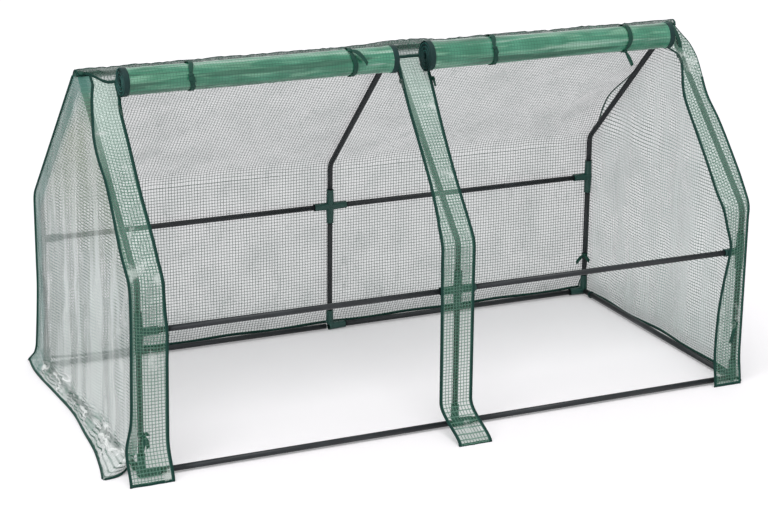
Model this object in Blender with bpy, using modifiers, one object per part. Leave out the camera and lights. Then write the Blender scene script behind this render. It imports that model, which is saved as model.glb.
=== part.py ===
"""Low garden greenhouse: push-fit steel tube frame, fitted mesh cover and two roll-up doors.

Units are metres and +Z is up. X runs along the length, -Y is the side with the doors, and the
origin is on the ground in the middle of the frame.
"""

import math

import bmesh
import bpy
from mathutils import Matrix, Vector

# Frame, measured between tube centres
LENGTH = 1.80
WIDTH = 0.87
MID_RAIL_HEIGHT = 0.385
BEND_HEIGHT = 0.515
RIDGE_HEIGHT = 0.957

# Steel tube
TUBE_DIAMETER = 0.016
TUBE_WALL = 0.0006
BEND_RADIUS = 0.045
TUBE_SIDES = 10

# Moulded push-fit connectors
SOCKET_LENGTH = 0.052
SOCKET_FIT = 0.0003
HUB_WALL = 0.0041
MOUTH_WALL = 0.0022
TUBE_STOP = 0.0125
SOCKET_SIDES = 12

# Cover film
GAP = 0.0003
FILM = 0.0008
HEADER_LENGTH = 0.040
SKIRT_HEIGHT = 0.12
FOLD_DEPTH = 0.012
FOLD_COUNT = 3
REAR_SKIRT_FLARE = 0.046
REAR_LEFT_FLARE = 0.104
REAR_LEFT_SPREAD = 0.28
REAR_RIPPLE = 0.1
LEFT_SKIRT_FLARE_FRONT = 0.066
LEFT_SKIRT_FLARE_REAR = 0.022
RIGHT_SKIRT_FLARE_FRONT = 0.022
RIGHT_SKIRT_FLARE_REAR = 0.046
LEFT_HEM_PULLED_BACK = 0.042
REAR_SAG = 0.010
RIGHT_BILLOW = 0.028
RIGHT_BILLOW_AT_BEND = 0.012
BILLOW_START = 0.06
BILLOW_END = 0.08
LEFT_STRIP_FLARE = 0.042
MIDDLE_STRIP_FLARE = 0.124
MIDDLE_SKIRT_SHARE = 0.75
RIGHT_STRIP_FLARE = 0.012

# Where each front strip's door edges run, from the frame line beside it: at the header, the bend, the floor
LEFT_STRIP_EDGE = (0.077, 0.068, 0.071)
MIDDLE_STRIP_LEFT_EDGE = (-0.006, -0.052, -0.053)
MIDDLE_STRIP_RIGHT_EDGE = (0.088, 0.046, 0.045)
RIGHT_STRIP_EDGE = (-0.008, -0.076, -0.075)

# Rolled doors
DOOR_ALLOWANCE = 0.116
LEFT_DOOR_SHIFT = 0.022
RIGHT_DOOR_SHIFT = 0.001
LEFT_DOOR_TRIM = 0.005
RIGHT_DOOR_TRIM = 0.033
ROLL_RADIUS = 0.038
ROLL_CORE_RADIUS = 0.007
ROLL_TURNS = 7
ROLL_SHEET = 0.0010
ROLL_BELOW_RIDGE = 0.066
ROLL_STAND_OFF = 0.007
DOOR_LAP = 0.010
POINTS_PER_TURN = 18

# Ribbons that tie the doors up and the cover to the frame, angles in degrees. A door's two ties are each a
# share of its width from its middle, and how long the loose tails are.
RIBBON_WIDTH = 0.011
RIBBON_THICKNESS = 0.0010
KNOT_SIZE = 0.011
KNOT_FLATNESS = 0.75
KNOT_STRETCH = 1.2
KNOT_ANGLE = 62
TIE_WRAP = 280
TAIL_WIDTH_SHARE = 0.6
TAIL_LEAN = 0.3
TAILS_OUT = (0.35, 0.55)
LEFT_DOOR_TIES = ((-0.268, 0.016), (0.336, 0.020))
RIGHT_DOOR_TIES = ((-0.250, 0.016), (0.300, 0.045))
FRAME_TIE_HEIGHT = 0.135
FRAME_TIE_TAIL = 0.034
FRAME_TIE_WRAP = 340
FRAME_TIE_START = -125

# Zip sliders and their pull tabs
SLIDER_WIDTH = 0.0100
SLIDER_LENGTH = 0.0130
SLIDER_PLATE = 0.0012
SLIDER_POST = 0.0026
SLIDER_REST = 0.114
BRIDGE_HEIGHT = 0.0026
BRIDGE_LENGTH = 0.0070
BRIDGE_BAR = 0.0010
BRIDGE_WIDTH = 0.0020
TAB_WIDTH = 0.0064
TAB_LENGTH = 0.027
TAB_THICKNESS = 0.0010
TAB_SIDE = 0.0014
TAB_RIBS = 3
FIRST_RIB = 0.4
RIB_STEP = 0.18

# Sizes that follow from the ones above
TUBE_RADIUS = TUBE_DIAMETER / 2
HUB_RADIUS = TUBE_RADIUS + SOCKET_FIT + HUB_WALL
MOUTH_RADIUS = TUBE_RADIUS + SOCKET_FIT + MOUTH_WALL
BASE_Z = HUB_RADIUS
MID_Z = BASE_Z + MID_RAIL_HEIGHT
BEND_Z = BASE_Z + BEND_HEIGHT
RIDGE_Z = BASE_Z + RIDGE_HEIGHT
COVER_OFFSET = HUB_RADIUS + GAP
COVER_END_X = LENGTH / 2 + COVER_OFFSET + FILM + GAP
ROOF_PITCH = math.atan2(RIDGE_HEIGHT - BEND_HEIGHT, WIDTH / 2)
BEND_TURN = math.pi / 2 - ROOF_PITCH
BEND_TANGENT = BEND_RADIUS * math.tan(BEND_TURN / 2)
SLOPE_LENGTH = math.hypot(RIDGE_HEIGHT - BEND_HEIGHT, WIDTH / 2)
DOOR_WIDTH = LENGTH / 2 - DOOR_ALLOWANCE
DOWN_SLOPE = Vector((0, -math.cos(ROOF_PITCH), -math.sin(ROOF_PITCH)))
OFF_SLOPE = Vector((0, -math.sin(ROOF_PITCH), math.cos(ROOF_PITCH)))
ROLL_OFF_SLOPE = COVER_OFFSET + FILM + ROLL_STAND_OFF + ROLL_RADIUS

COLOURS = {
    "coated_steel": ((0.035, 0.040, 0.043), 0.42, 0.35),
    "green_plastic": ((0.006, 0.050, 0.040), 0.45, 0.0),
    "mesh_film": ((0.560, 0.720, 0.600), 0.35, 0.0),
    "rolled_film": ((0.080, 0.290, 0.170), 0.35, 0.0),
    "green_ribbon": ((0.008, 0.080, 0.060), 0.75, 0.0),
    "zip_metal": ((0.020, 0.110, 0.080), 0.35, 0.6),
}


def clear_scene():
    for item in list(bpy.data.objects):
        bpy.data.objects.remove(item, do_unlink=True)


def new_collection(name):
    collection = bpy.data.collections.new(name)
    bpy.context.scene.collection.children.link(collection)
    return collection


def material(name):
    """The material of this name, made once from its colour, roughness and metallic value."""
    found = bpy.data.materials.get(name)
    if found:
        return found
    colour, roughness, metallic = COLOURS[name]
    made = bpy.data.materials.new(name)
    made.use_nodes = True
    shader = made.node_tree.nodes["Principled BSDF"]
    shader.inputs["Base Color"].default_value = (*colour, 1.0)
    shader.inputs["Roughness"].default_value = roughness
    shader.inputs["Metallic"].default_value = metallic
    made.diffuse_color = (*colour, 1.0)
    return made


def add_part(name, data, material_name, matrix=None):
    """Puts a mesh or curve into the greenhouse collection as one named piece."""
    if not data.materials:
        data.materials.append(material(material_name))
    piece = bpy.data.objects.new(name, data)
    if matrix is not None:
        piece.matrix_world = matrix
    PARTS.objects.link(piece)
    return piece


def finished_mesh(item, name):
    """The item's mesh with its modifiers worked in; the item itself is removed."""
    bpy.context.view_layer.update()
    evaluated = item.evaluated_get(bpy.context.evaluated_depsgraph_get())
    mesh = bpy.data.meshes.new_from_object(evaluated)
    mesh.name = name
    bpy.data.objects.remove(item, do_unlink=True)
    return mesh


def mesh_from(build, name):
    """A mesh made by a function that fills an empty bmesh."""
    shape = bmesh.new()
    build(shape)
    bmesh.ops.recalc_face_normals(shape, faces=shape.faces)
    mesh = bpy.data.meshes.new(name)
    shape.to_mesh(mesh)
    shape.free()
    return mesh


def boolean(target, tool, operation):
    """Joins or cuts with another object, which then waits among the cutters."""
    step = target.modifiers.new(operation.lower(), "BOOLEAN")
    step.operation = operation
    step.solver = "EXACT"
    step.object = tool
    tool.hide_render = True
    tool.display_type = "WIRE"
    return step


def add_cutter(name, mesh, matrix=None):
    cutter = bpy.data.objects.new(name, mesh)
    if matrix is not None:
        cutter.matrix_world = matrix
    CUTTERS.objects.link(cutter)
    return cutter


def turned_to(direction, place=(0, 0, 0)):
    """The matrix that points local +Z along a direction, at a place."""
    turn = Vector((0, 0, 1)).rotation_difference(Vector(direction))
    return Matrix.Translation(Vector(place)) @ turn.to_matrix().to_4x4()


def slope_point(x, down, off):
    """A point on the front roof slope: metres down from the ridge tube and out from the tube line."""
    return Vector((x, 0, RIDGE_Z)) + down * DOWN_SLOPE + off * OFF_SLOPE


def smooth(value):
    """Rises gently from 0 to 1 as the value does."""
    held = min(max(value, 0.0), 1.0)
    return held * held * (3 - 2 * held)


def between(values, where):
    """Straight runs through three values, at 0, 1 and 2."""
    if where <= 1:
        return values[0] + (values[1] - values[0]) * where
    return values[1] + (values[2] - values[1]) * (where - 1)


# Steel tubes


def steel_tube(name, points):
    """A hollow tube along points, open at both ends."""
    path = bpy.data.curves.new(name, "CURVE")
    path.dimensions = "3D"
    path.bevel_depth = TUBE_RADIUS
    path.bevel_resolution = TUBE_SIDES // 2 - 2
    line = path.splines.new("POLY")
    line.points.add(len(points) - 1)
    for spot, place in zip(line.points, points):
        spot.co = (*place, 1)
    line.use_smooth = True
    tube = add_part(name, path, "coated_steel")
    wall = tube.modifiers.new("wall", "SOLIDIFY")
    wall.thickness = TUBE_WALL
    wall.offset = -1
    return tube


def straight_tube(name, start, end):
    """A tube between two connector centres, stopping short of each hub."""
    start = Vector(start)
    end = Vector(end)
    run = (end - start).normalized()
    return steel_tube(name, [start + run * TUBE_STOP, end - run * TUBE_STOP])


def bent_tube(name, x, side):
    """A side tube that rises from the mid rail, bends and follows the roof to the ridge."""
    centre = Vector((x, side * (WIDTH / 2 - BEND_RADIUS), BEND_Z - BEND_TANGENT))
    points = [Vector((x, side * WIDTH / 2, MID_Z + TUBE_STOP))]
    steps = 6
    for step in range(steps + 1):
        angle = BEND_TURN * step / steps
        out = Vector((0, side * math.cos(angle), math.sin(angle)))
        points.append(centre + out * BEND_RADIUS)
    ridge = Vector((x, 0, RIDGE_Z))
    down = Vector((0, side * math.cos(ROOF_PITCH), -math.sin(ROOF_PITCH)))
    points.append(ridge + down * TUBE_STOP)
    return steel_tube(name, points)


def make_tubes():
    left, middle, right = -LENGTH / 2, 0.0, LENGTH / 2
    sides = (("front", -1), ("rear", 1))
    halves = (("left", left, middle), ("right", middle, right))
    posts = (("left", left), ("middle", middle), ("right", right))
    for side_name, side in sides:
        y = side * WIDTH / 2
        for half, start, end in halves:
            straight_tube(f"base_rail_{side_name}_{half}", (start, y, BASE_Z), (end, y, BASE_Z))
            straight_tube(f"mid_rail_{side_name}_{half}", (start, y, MID_Z), (end, y, MID_Z))
        for post, x in posts:
            straight_tube(f"lower_post_{side_name}_{post}", (x, y, BASE_Z), (x, y, MID_Z))
            bent_tube(f"roof_tube_{side_name}_{post}", x, side)
    for half, start, end in halves:
        straight_tube(f"ridge_tube_{half}", (start, 0, RIDGE_Z), (end, 0, RIDGE_Z))
    for end_name, x in (("left", left), ("right", right)):
        straight_tube(f"base_rail_{end_name}_end", (x, -WIDTH / 2, BASE_Z), (x, WIDTH / 2, BASE_Z))


# Moulded connectors


def tapered_arm(name, direction, back):
    """The outside of one socket: a cone frustum that narrows to its mouth."""
    reach = SOCKET_LENGTH + back
    taper = (HUB_RADIUS - MOUTH_RADIUS) / SOCKET_LENGTH
    turn = turned_to(direction)

    def build(shape):
        move = Matrix.Translation((0, 0, reach / 2 - back))
        spin = Matrix.Rotation(math.pi / SOCKET_SIDES, 4, "Z")
        bmesh.ops.create_cone(
            shape,
            cap_ends=True,
            segments=SOCKET_SIDES,
            radius1=HUB_RADIUS / math.cos(math.pi / SOCKET_SIDES) if back else HUB_RADIUS,
            radius2=HUB_RADIUS - taper * SOCKET_LENGTH,
            depth=reach,
            matrix=turn @ move @ spin,
        )

    return mesh_from(build, name)


def bore_cutter(name, directions):
    """All of a connector's bores, each from the tube's stop to past the socket's mouth."""
    past = TUBE_DIAMETER / 2
    depth = SOCKET_LENGTH - TUBE_STOP + past
    radius = (TUBE_RADIUS + SOCKET_FIT) / math.cos(math.pi / SOCKET_SIDES)

    def build(shape):
        for direction in directions:
            move = Matrix.Translation((0, 0, TUBE_STOP - GAP + depth / 2))
            bmesh.ops.create_cone(
                shape,
                cap_ends=True,
                segments=SOCKET_SIDES,
                radius1=radius,
                radius2=radius,
                depth=depth,
                matrix=turned_to(direction) @ move,
            )

    return mesh_from(build, name)


def connector_mesh(name, directions, ball):
    """One moulding: sockets that meet at a hub, which is a ball or the sockets' own square ends."""
    back = 0.0 if ball else HUB_RADIUS
    arms = [tapered_arm(f"{name}_arm", way, back) for way in directions]
    if ball:
        hub = mesh_from(
            lambda shape: bmesh.ops.create_uvsphere(
                shape, u_segments=SOCKET_SIDES, v_segments=SOCKET_SIDES // 2, radius=HUB_RADIUS
            ),
            f"{name}_hub",
        )
        arms.insert(0, hub)
    body = bpy.data.objects.new(name, arms[0])
    CUTTERS.objects.link(body)
    tools = [add_cutter(f"{name}_joined", arm) for arm in arms[1:]]
    for tool in tools:
        boolean(body, tool, "UNION")
    bores = add_cutter(f"{name}_bores", bore_cutter(f"{name}_bores", directions))
    boolean(body, bores, "DIFFERENCE")
    mesh = finished_mesh(body, name)
    for tool in tools + [bores]:
        bpy.data.objects.remove(tool, do_unlink=True)
    return mesh


def place_connector(name, mesh, place, turn=0.0):
    spot = Matrix.Translation(Vector(place)) @ Matrix.Rotation(turn, 4, "Z")
    return add_part(name, mesh, "green_plastic", spot)


def make_connectors():
    right, back, up = Vector((1, 0, 0)), Vector((0, 1, 0)), Vector((0, 0, 1))
    slopes = [Vector((0, side * math.cos(ROOF_PITCH), -math.sin(ROOF_PITCH))) for side in (-1, 1)]
    corner = connector_mesh("corner_connector", [up, right, back], False)
    base_tee = connector_mesh("base_tee", [up, right, -right], False)
    side_tee = connector_mesh("side_tee", [up, -up, right], False)
    side_cross = connector_mesh("side_cross", [up, -up, right, -right], False)
    ridge_end = connector_mesh("ridge_end", slopes + [right], True)
    ridge_middle = connector_mesh("ridge_middle", slopes + [right, -right], True)
    half, side = LENGTH / 2, WIDTH / 2
    corners = (
        ("front_left", -half, -side, 0),
        ("front_right", half, -side, 1),
        ("rear_right", half, side, 2),
        ("rear_left", -half, side, 3),
    )
    for corner_name, x, y, quarter in corners:
        place_connector(f"corner_connector_{corner_name}", corner, (x, y, BASE_Z), quarter * math.pi / 2)
        place_connector(f"side_tee_{corner_name}", side_tee, (x, y, MID_Z), math.pi if x > 0 else 0.0)
    for side_name, y in (("front", -side), ("rear", side)):
        place_connector(f"base_tee_{side_name}", base_tee, (0, y, BASE_Z))
        place_connector(f"side_cross_{side_name}", side_cross, (0, y, MID_Z))
    place_connector("ridge_end_connector_left", ridge_end, (-half, 0, RIDGE_Z))
    place_connector("ridge_end_connector_right", ridge_end, (half, 0, RIDGE_Z), math.pi)
    place_connector("ridge_middle_connector", ridge_middle, (0, 0, RIDGE_Z))


# Cover film


def skirt_stations(height):
    """Heights and shares of the flare, from the hem on the ground up to where the wall is straight."""
    shape = ((0.0, 1.0), (0.08, 0.75), (0.25, 0.42), (0.55, 0.12))
    return [(height * up, share) for up, share in shape]


def wall_stations(offset, skirt_height):
    """One side of the cover from hem to roof slope: reach from the ridge plane, height, skirt share."""
    reach = WIDTH / 2 + offset
    stations = [(reach, z, share) for z, share in skirt_stations(skirt_height)]
    bend_z = BEND_Z - BEND_TANGENT
    for share in (0.0, 0.35, 0.70):
        stations.append((reach, skirt_height + (bend_z - skirt_height) * share, 0.0))
    steps = 3
    for step in range(steps + 1):
        angle = BEND_TURN * step / steps
        radius = BEND_RADIUS + offset
        across = WIDTH / 2 - BEND_RADIUS + radius * math.cos(angle)
        stations.append((across, bend_z + radius * math.sin(angle), 0.0))
    return stations


def roof_stations(offset, stops):
    """Points on the roof slope at these distances down from the ridge."""
    return [
        (
            down * math.cos(ROOF_PITCH) + offset * math.sin(ROOF_PITCH),
            RIDGE_Z - down * math.sin(ROOF_PITCH) + offset * math.cos(ROOF_PITCH),
            0.0,
        )
        for down in stops
    ]


def ridge_arc(offset, steps):
    """Angles either side of straight up, over the ridge tube, as (reach, height)."""
    top = []
    for step in range(steps + 1):
        angle = BEND_TURN + (math.pi - 2 * BEND_TURN) * step / steps
        top.append((offset * math.cos(angle), RIDGE_Z + offset * math.sin(angle)))
    return top


def film_sheet(name, columns, rows, place, side):
    """Film laid over a grid of points; place gives the inner face by column and row number."""
    shape = bmesh.new()
    bmesh.ops.create_grid(shape, x_segments=columns, y_segments=rows, size=1.0)
    for vertex in shape.verts:
        column = round((vertex.co.x + 1) / 2 * columns)
        row = round((vertex.co.y + 1) / 2 * rows)
        vertex.co = place(column, row)
    mesh = bpy.data.meshes.new(name)
    shape.to_mesh(mesh)
    shape.free()
    sheet = add_part(name, mesh, "mesh_film")
    thick = sheet.modifiers.new("thickness", "SOLIDIFY")
    thick.thickness = FILM
    thick.offset = side
    thick.use_even_offset = True
    return sheet


def make_rear_and_roof():
    """One length of film from the rear hem, over the ridge, to the header that carries the doors."""
    rear = wall_stations(COVER_OFFSET, SKIRT_HEIGHT)
    bend_down = SLOPE_LENGTH - BEND_TANGENT
    rear += roof_stations(COVER_OFFSET, [bend_down * share for share in (0.72, 0.45, 0.2, 0.0)])[:3]
    path = [(reach, z, share) for reach, z, share in rear]
    path += [(reach, z, 0.0) for reach, z in ridge_arc(COVER_OFFSET, 6)]
    header = roof_stations(COVER_OFFSET, [HEADER_LENGTH])[0]
    path.append((-header[0], header[1], 0.0))
    columns = 22
    wall_rows = len(rear)

    def place(column, row):
        along = column / columns
        reach, z, share = path[row]
        x = -COVER_END_X + 2 * COVER_END_X * along
        at_left = 1 - smooth((x + COVER_END_X) / REAR_LEFT_SPREAD)
        flare = REAR_SKIRT_FLARE + (REAR_LEFT_FLARE - REAR_SKIRT_FLARE) * at_left
        ripple = 1 - REAR_RIPPLE + REAR_RIPPLE * math.cos(2 * math.pi * FOLD_COUNT * 2 * along)
        bays = abs(math.sin(2 * math.pi * along))
        height = math.sin(math.pi * min(row / (wall_rows - 1), 1.0))
        sag = REAR_SAG * bays * height if row < wall_rows else 0.0
        return Vector((x, reach + share * flare * ripple + sag, z))

    film_sheet("cover_rear_and_roof", columns, len(path) - 1, place, -1)


def billow(z):
    """How far the right end's front seam stands off its frame, most of all near the ridge."""
    size = RIGHT_BILLOW_AT_BEND
    size += (RIGHT_BILLOW - RIGHT_BILLOW_AT_BEND) * smooth((z - BEND_Z) / RIDGE_HEIGHT * 2)
    return size * smooth((RIDGE_Z - z) / BILLOW_START) * smooth((z - BEND_Z) / BILLOW_END + 0.4)


def make_end_panel(name, end, flare_front, flare_rear, front_pull, stand_off):
    """A gable end: film inside the edge of the roof film, with soft folds that spread to the hem."""
    inner = COVER_OFFSET - GAP
    stations = wall_stations(inner, SKIRT_HEIGHT)
    bend_down = SLOPE_LENGTH - BEND_TANGENT
    stations += roof_stations(inner, [bend_down * share for share in (0.75, 0.5, 0.25, 0.08)])
    stations += [(reach, z, 0.0) for reach, z in ridge_arc(inner, 6)[1:3]]
    columns = 18

    def place(column, row):
        across = column / columns
        reach, z, share = stations[row]
        front = -reach + front_pull * share
        y = front + (reach - front) * across
        flare = flare_front + (flare_rear - flare_front) * across
        fold = 0.5 - 0.5 * math.cos(2 * math.pi * FOLD_COUNT * across)
        spread = 1 - 0.75 * smooth(z / RIDGE_Z)
        out = share * flare + FOLD_DEPTH * fold * spread * smooth((RIDGE_Z - z) / 0.15)
        out += stand_off(across, z)
        return Vector((end * (LENGTH / 2 + COVER_OFFSET + out), y, z))

    film_sheet(name, columns, len(stations) - 1, place, end)


def make_front_strip(name, left_edge, right_edge, flare, skirt_height):
    """One of the three bands of film between the doors, from the header down to its loose tail."""
    bend_down = SLOPE_LENGTH - BEND_TANGENT
    top = HEADER_LENGTH + GAP
    stops = [top + (bend_down - top) * share for share in (0.84, 0.68, 0.52, 0.36, 0.18, 0.0)]
    stations = wall_stations(COVER_OFFSET, skirt_height)
    wall_rows = len(stations)
    stations += roof_stations(COVER_OFFSET, stops)
    columns = 4

    def where(row, z):
        """0 at the header, 1 at the bend and 2 at the floor, straight along the slope."""
        if row >= wall_rows - 1:
            down = stops[row - wall_rows] if row >= wall_rows else bend_down
            return (down - top) / (bend_down - top)
        return 1 + (BEND_Z - z) / BEND_Z

    def place(column, row):
        reach, z, share = stations[row]
        at = min(where(row, z), 2.0)
        start = left_edge(at, z)
        end = right_edge(at, z)
        x = start + (end - start) * column / columns
        return Vector((x, -(reach + share * flare), z))

    film_sheet(name, columns, len(stations) - 1, place, 1)


def make_cover():
    make_rear_and_roof()
    make_end_panel(
        "cover_left_end", -1, LEFT_SKIRT_FLARE_FRONT, LEFT_SKIRT_FLARE_REAR, LEFT_HEM_PULLED_BACK,
        lambda across, z: 0.0,
    )
    make_end_panel(
        "cover_right_end", 1, RIGHT_SKIRT_FLARE_FRONT, RIGHT_SKIRT_FLARE_REAR, 0.0,
        lambda across, z: billow(z) * (1 - smooth(across * 2)),
    )
    make_front_strip(
        "cover_front_left_strip",
        lambda at, z: -COVER_END_X,
        lambda at, z: -LENGTH / 2 + between(LEFT_STRIP_EDGE, at),
        LEFT_STRIP_FLARE,
        SKIRT_HEIGHT,
    )
    make_front_strip(
        "cover_front_middle_strip",
        lambda at, z: between(MIDDLE_STRIP_LEFT_EDGE, at),
        lambda at, z: between(MIDDLE_STRIP_RIGHT_EDGE, at),
        MIDDLE_STRIP_FLARE,
        SKIRT_HEIGHT * MIDDLE_SKIRT_SHARE,
    )
    make_front_strip(
        "cover_front_right_strip",
        lambda at, z: LENGTH / 2 + between(RIGHT_STRIP_EDGE, at),
        lambda at, z: COVER_END_X + billow(z),
        RIGHT_STRIP_FLARE,
        SKIRT_HEIGHT,
    )


# Rolled doors


def roll_angle_point(radius, angle):
    """A place on the roll's cross-section: angle 0 is its lowest side down the slope."""
    return Vector((ROLL_BELOW_RIDGE + radius * math.cos(angle), ROLL_OFF_SLOPE + radius * math.sin(angle)))


def door_path():
    """The rolled sheet in section, as (down, off): lap on the header, flap, then the spiral."""
    seam_off = COVER_OFFSET + FILM + GAP + ROLL_SHEET / 2
    outer = ROLL_RADIUS - ROLL_SHEET / 2
    back = roll_angle_point(outer, -math.pi / 2)
    lap_end = HEADER_LENGTH + DOOR_LAP / 2
    path = [Vector((HEADER_LENGTH - DOOR_LAP, seam_off)), Vector((lap_end, seam_off))]
    for step in (1, 2, 3):
        share = step / 4
        down = lap_end + (back.x - lap_end) * share
        path.append(Vector((down, seam_off + (back.y - seam_off) * smooth(share))))
    pitch = (outer - ROLL_CORE_RADIUS) / ROLL_TURNS
    for step in range(ROLL_TURNS * POINTS_PER_TURN + 1):
        turns = step / POINTS_PER_TURN
        path.append(roll_angle_point(outer - pitch * turns, -math.pi / 2 + 2 * math.pi * turns))
    return path


def least_self_gap(path, thickness):
    """The least clear distance between stretches of the sheet that lie one turn apart."""
    least = math.inf
    for index, point in enumerate(path):
        for other in path[index + POINTS_PER_TURN // 2:]:
            least = min(least, (point - other).length - thickness)
    return least


def ribbon(name, points, width, thickness, across):
    """A band of even thickness along points, as a finished mesh."""
    shape = bmesh.new()
    for share in (-0.5, 0.5):
        for point in points:
            shape.verts.new(point + across * width * share)
    shape.verts.ensure_lookup_table()
    count = len(points)
    for step in range(count - 1):
        corners = (step, step + 1, count + step + 1, count + step)
        shape.faces.new([shape.verts[corner] for corner in corners])
    mesh = bpy.data.meshes.new(name)
    shape.to_mesh(mesh)
    shape.free()
    band = bpy.data.objects.new(name, mesh)
    CUTTERS.objects.link(band)
    thick = band.modifiers.new("thickness", "SOLIDIFY")
    thick.thickness = thickness
    thick.offset = 0
    thick.use_even_offset = True
    return band


def make_door_roll(name, centre_x, trim):
    """The whole door as one wound sheet, still sewn to the header by its flap.

    The flap is trimmed on its left, because the door's zip starts there further in than its hem is wide.
    """
    path = door_path()
    points = [slope_point(centre_x, spot.x, spot.y) for spot in path]
    band = ribbon(name, points, DOOR_WIDTH, ROLL_SHEET, Vector((1, 0, 0)))
    before_roll = len(path) - ROLL_TURNS * POINTS_PER_TURN - 1
    for vertex in band.data.vertices[:before_roll]:
        vertex.co.x += trim
    origin = slope_point(centre_x, ROLL_BELOW_RIDGE, ROLL_OFF_SLOPE)
    mesh = finished_mesh(band, name)
    mesh.transform(Matrix.Translation(-origin))
    add_part(name, mesh, "rolled_film", Matrix.Translation(origin))
    return path


# Ribbons


def knot_mesh(size):
    """A flattened knot."""
    def build(shape):
        bmesh.ops.create_uvsphere(shape, u_segments=8, v_segments=5, radius=size / 2)
        bmesh.ops.scale(shape, vec=(KNOT_STRETCH, 1.0, KNOT_FLATNESS), verts=shape.verts)

    return mesh_from(build, "knot")


def tie_mesh(name, loop, across, knot_place, knot_faces, tail_ways, tail):
    """A ribbon loop, its knot and its loose tails, joined into one piece."""
    body = ribbon(name, loop, RIBBON_WIDTH, RIBBON_THICKNESS, across)
    tools = [add_cutter(f"{name}_knot", knot_mesh(KNOT_SIZE), turned_to(knot_faces, knot_place))]
    for number, way in enumerate(tail_ways):
        run = way.normalized()
        flat = run.cross(knot_faces).normalized()
        tail_points = [knot_place, knot_place + run * tail]
        width = RIBBON_WIDTH * TAIL_WIDTH_SHARE
        tools.append(ribbon(f"{name}_tail_{number}", tail_points, width, RIBBON_THICKNESS, flat))
    for tool in tools:
        boolean(body, tool, "UNION")
    mesh = finished_mesh(body, name)
    for tool in tools:
        bpy.data.objects.remove(tool, do_unlink=True)
    return mesh


def make_door_tie(name, x, lean, tail):
    """A ribbon sewn in at the door's seam, that passes behind the flap and round the roll."""
    clear = GAP + RIBBON_THICKNESS / 2
    turn = math.radians(TIE_WRAP)
    steps = 20
    radius = (ROLL_RADIUS + clear) / math.cos(turn / steps / 2)
    path = door_path()
    loop = []
    for spot in path[1:5]:
        loop.append(slope_point(x, spot.x, spot.y - ROLL_SHEET / 2 - clear))
    for step in range(steps + 1):
        spot = roll_angle_point(radius, -math.pi / 2 + turn * step / steps)
        loop.append(slope_point(x, spot.x, spot.y))
    seam_off = COVER_OFFSET + FILM + GAP + ROLL_SHEET + clear
    loop.append(slope_point(x, HEADER_LENGTH - DOOR_LAP / 2, seam_off))
    knot_angle = math.radians(KNOT_ANGLE)
    spot = roll_angle_point(ROLL_RADIUS + GAP + KNOT_SIZE * KNOT_FLATNESS / 2, knot_angle)
    knot = slope_point(x, spot.x, spot.y)
    faces = math.cos(knot_angle) * DOWN_SLOPE + math.sin(knot_angle) * OFF_SLOPE
    ways = [Vector((lean, -TAILS_OUT[0], -1)), Vector((-lean, -TAILS_OUT[1], -1))]
    mesh = tie_mesh(name, loop, Vector((1, 0, 0)), knot, faces, ways, tail)
    origin = slope_point(x, ROLL_BELOW_RIDGE, ROLL_OFF_SLOPE)
    mesh.transform(Matrix.Translation(-origin))
    add_part(name, mesh, "green_ribbon", Matrix.Translation(origin))


def make_frame_tie():
    """The ribbon that holds the cover to the rear right post, tied on the post's inner side."""
    turn = math.radians(FRAME_TIE_WRAP)
    steps = 14
    radius = (TUBE_RADIUS + GAP + RIBBON_THICKNESS / 2) / math.cos(turn / steps / 2)
    post = Vector((LENGTH / 2, WIDTH / 2, FRAME_TIE_HEIGHT))
    faces = Vector((-1, -1, 0)).normalized()
    start = math.radians(FRAME_TIE_START)
    loop = []
    for step in range(steps + 1):
        angle = start + turn * step / steps
        loop.append(post + Vector((radius * math.cos(angle), radius * math.sin(angle), 0)))
    knot = post + faces * (TUBE_RADIUS + GAP + KNOT_SIZE * KNOT_FLATNESS / 2)
    ways = [Vector((-1, -0.35, -0.35)), Vector((-0.3, -1, -0.45))]
    name = "frame_tie_rear_right"
    mesh = tie_mesh(name, loop, Vector((0, 0, 1)), knot, faces, ways, FRAME_TIE_TAIL)
    mesh.transform(Matrix.Translation(-post))
    add_part(name, mesh, "green_ribbon", Matrix.Translation(post))


def make_doors():
    doors = (
        ("left", -LENGTH / 4 + LEFT_DOOR_SHIFT, LEFT_DOOR_TRIM, LEFT_DOOR_TIES),
        ("right", LENGTH / 4 + RIGHT_DOOR_SHIFT, RIGHT_DOOR_TRIM, RIGHT_DOOR_TIES),
    )
    for door, centre_x, trim, ties in doors:
        path = make_door_roll(f"{door}_door_roll", centre_x, trim)
        for tie_name, (share, tail), lean in (("left", ties[0], -TAIL_LEAN), ("right", ties[1], TAIL_LEAN)):
            make_door_tie(f"{door}_door_tie_{tie_name}", centre_x + DOOR_WIDTH * share, lean, tail)
    print(f"least gap in a door roll {least_self_gap(path, ROLL_SHEET) * 1000:.2f} mm")


# Zips


def box(shape, low, high):
    """A box between two corners, added to a bmesh."""
    made = bmesh.ops.create_cube(shape, size=1.0)["verts"]
    low = Vector(low)
    high = Vector(high)
    size = high - low
    bmesh.ops.scale(shape, vec=size, verts=made)
    bmesh.ops.translate(shape, vec=(low + high) / 2, verts=made)


def union_of_boxes(name, boxes, bevel):
    """Boxes joined into one piece and slightly rounded; each box is two corners."""
    body = None
    tools = []
    for number, (low, high) in enumerate(boxes):
        item = add_cutter(f"{name}_{number}", mesh_from(lambda shape: box(shape, low, high), name))
        if body is None:
            body = item
        else:
            tools.append(item)
    for tool in tools:
        boolean(body, tool, "UNION")
    if bevel:
        edge = body.modifiers.new("edge", "BEVEL")
        edge.width = bevel
        edge.segments = 1
        edge.limit_method = "ANGLE"
        edge.angle_limit = math.radians(60)
    mesh = finished_mesh(body, name)
    for tool in tools:
        bpy.data.objects.remove(tool, do_unlink=True)
    return mesh


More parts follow.
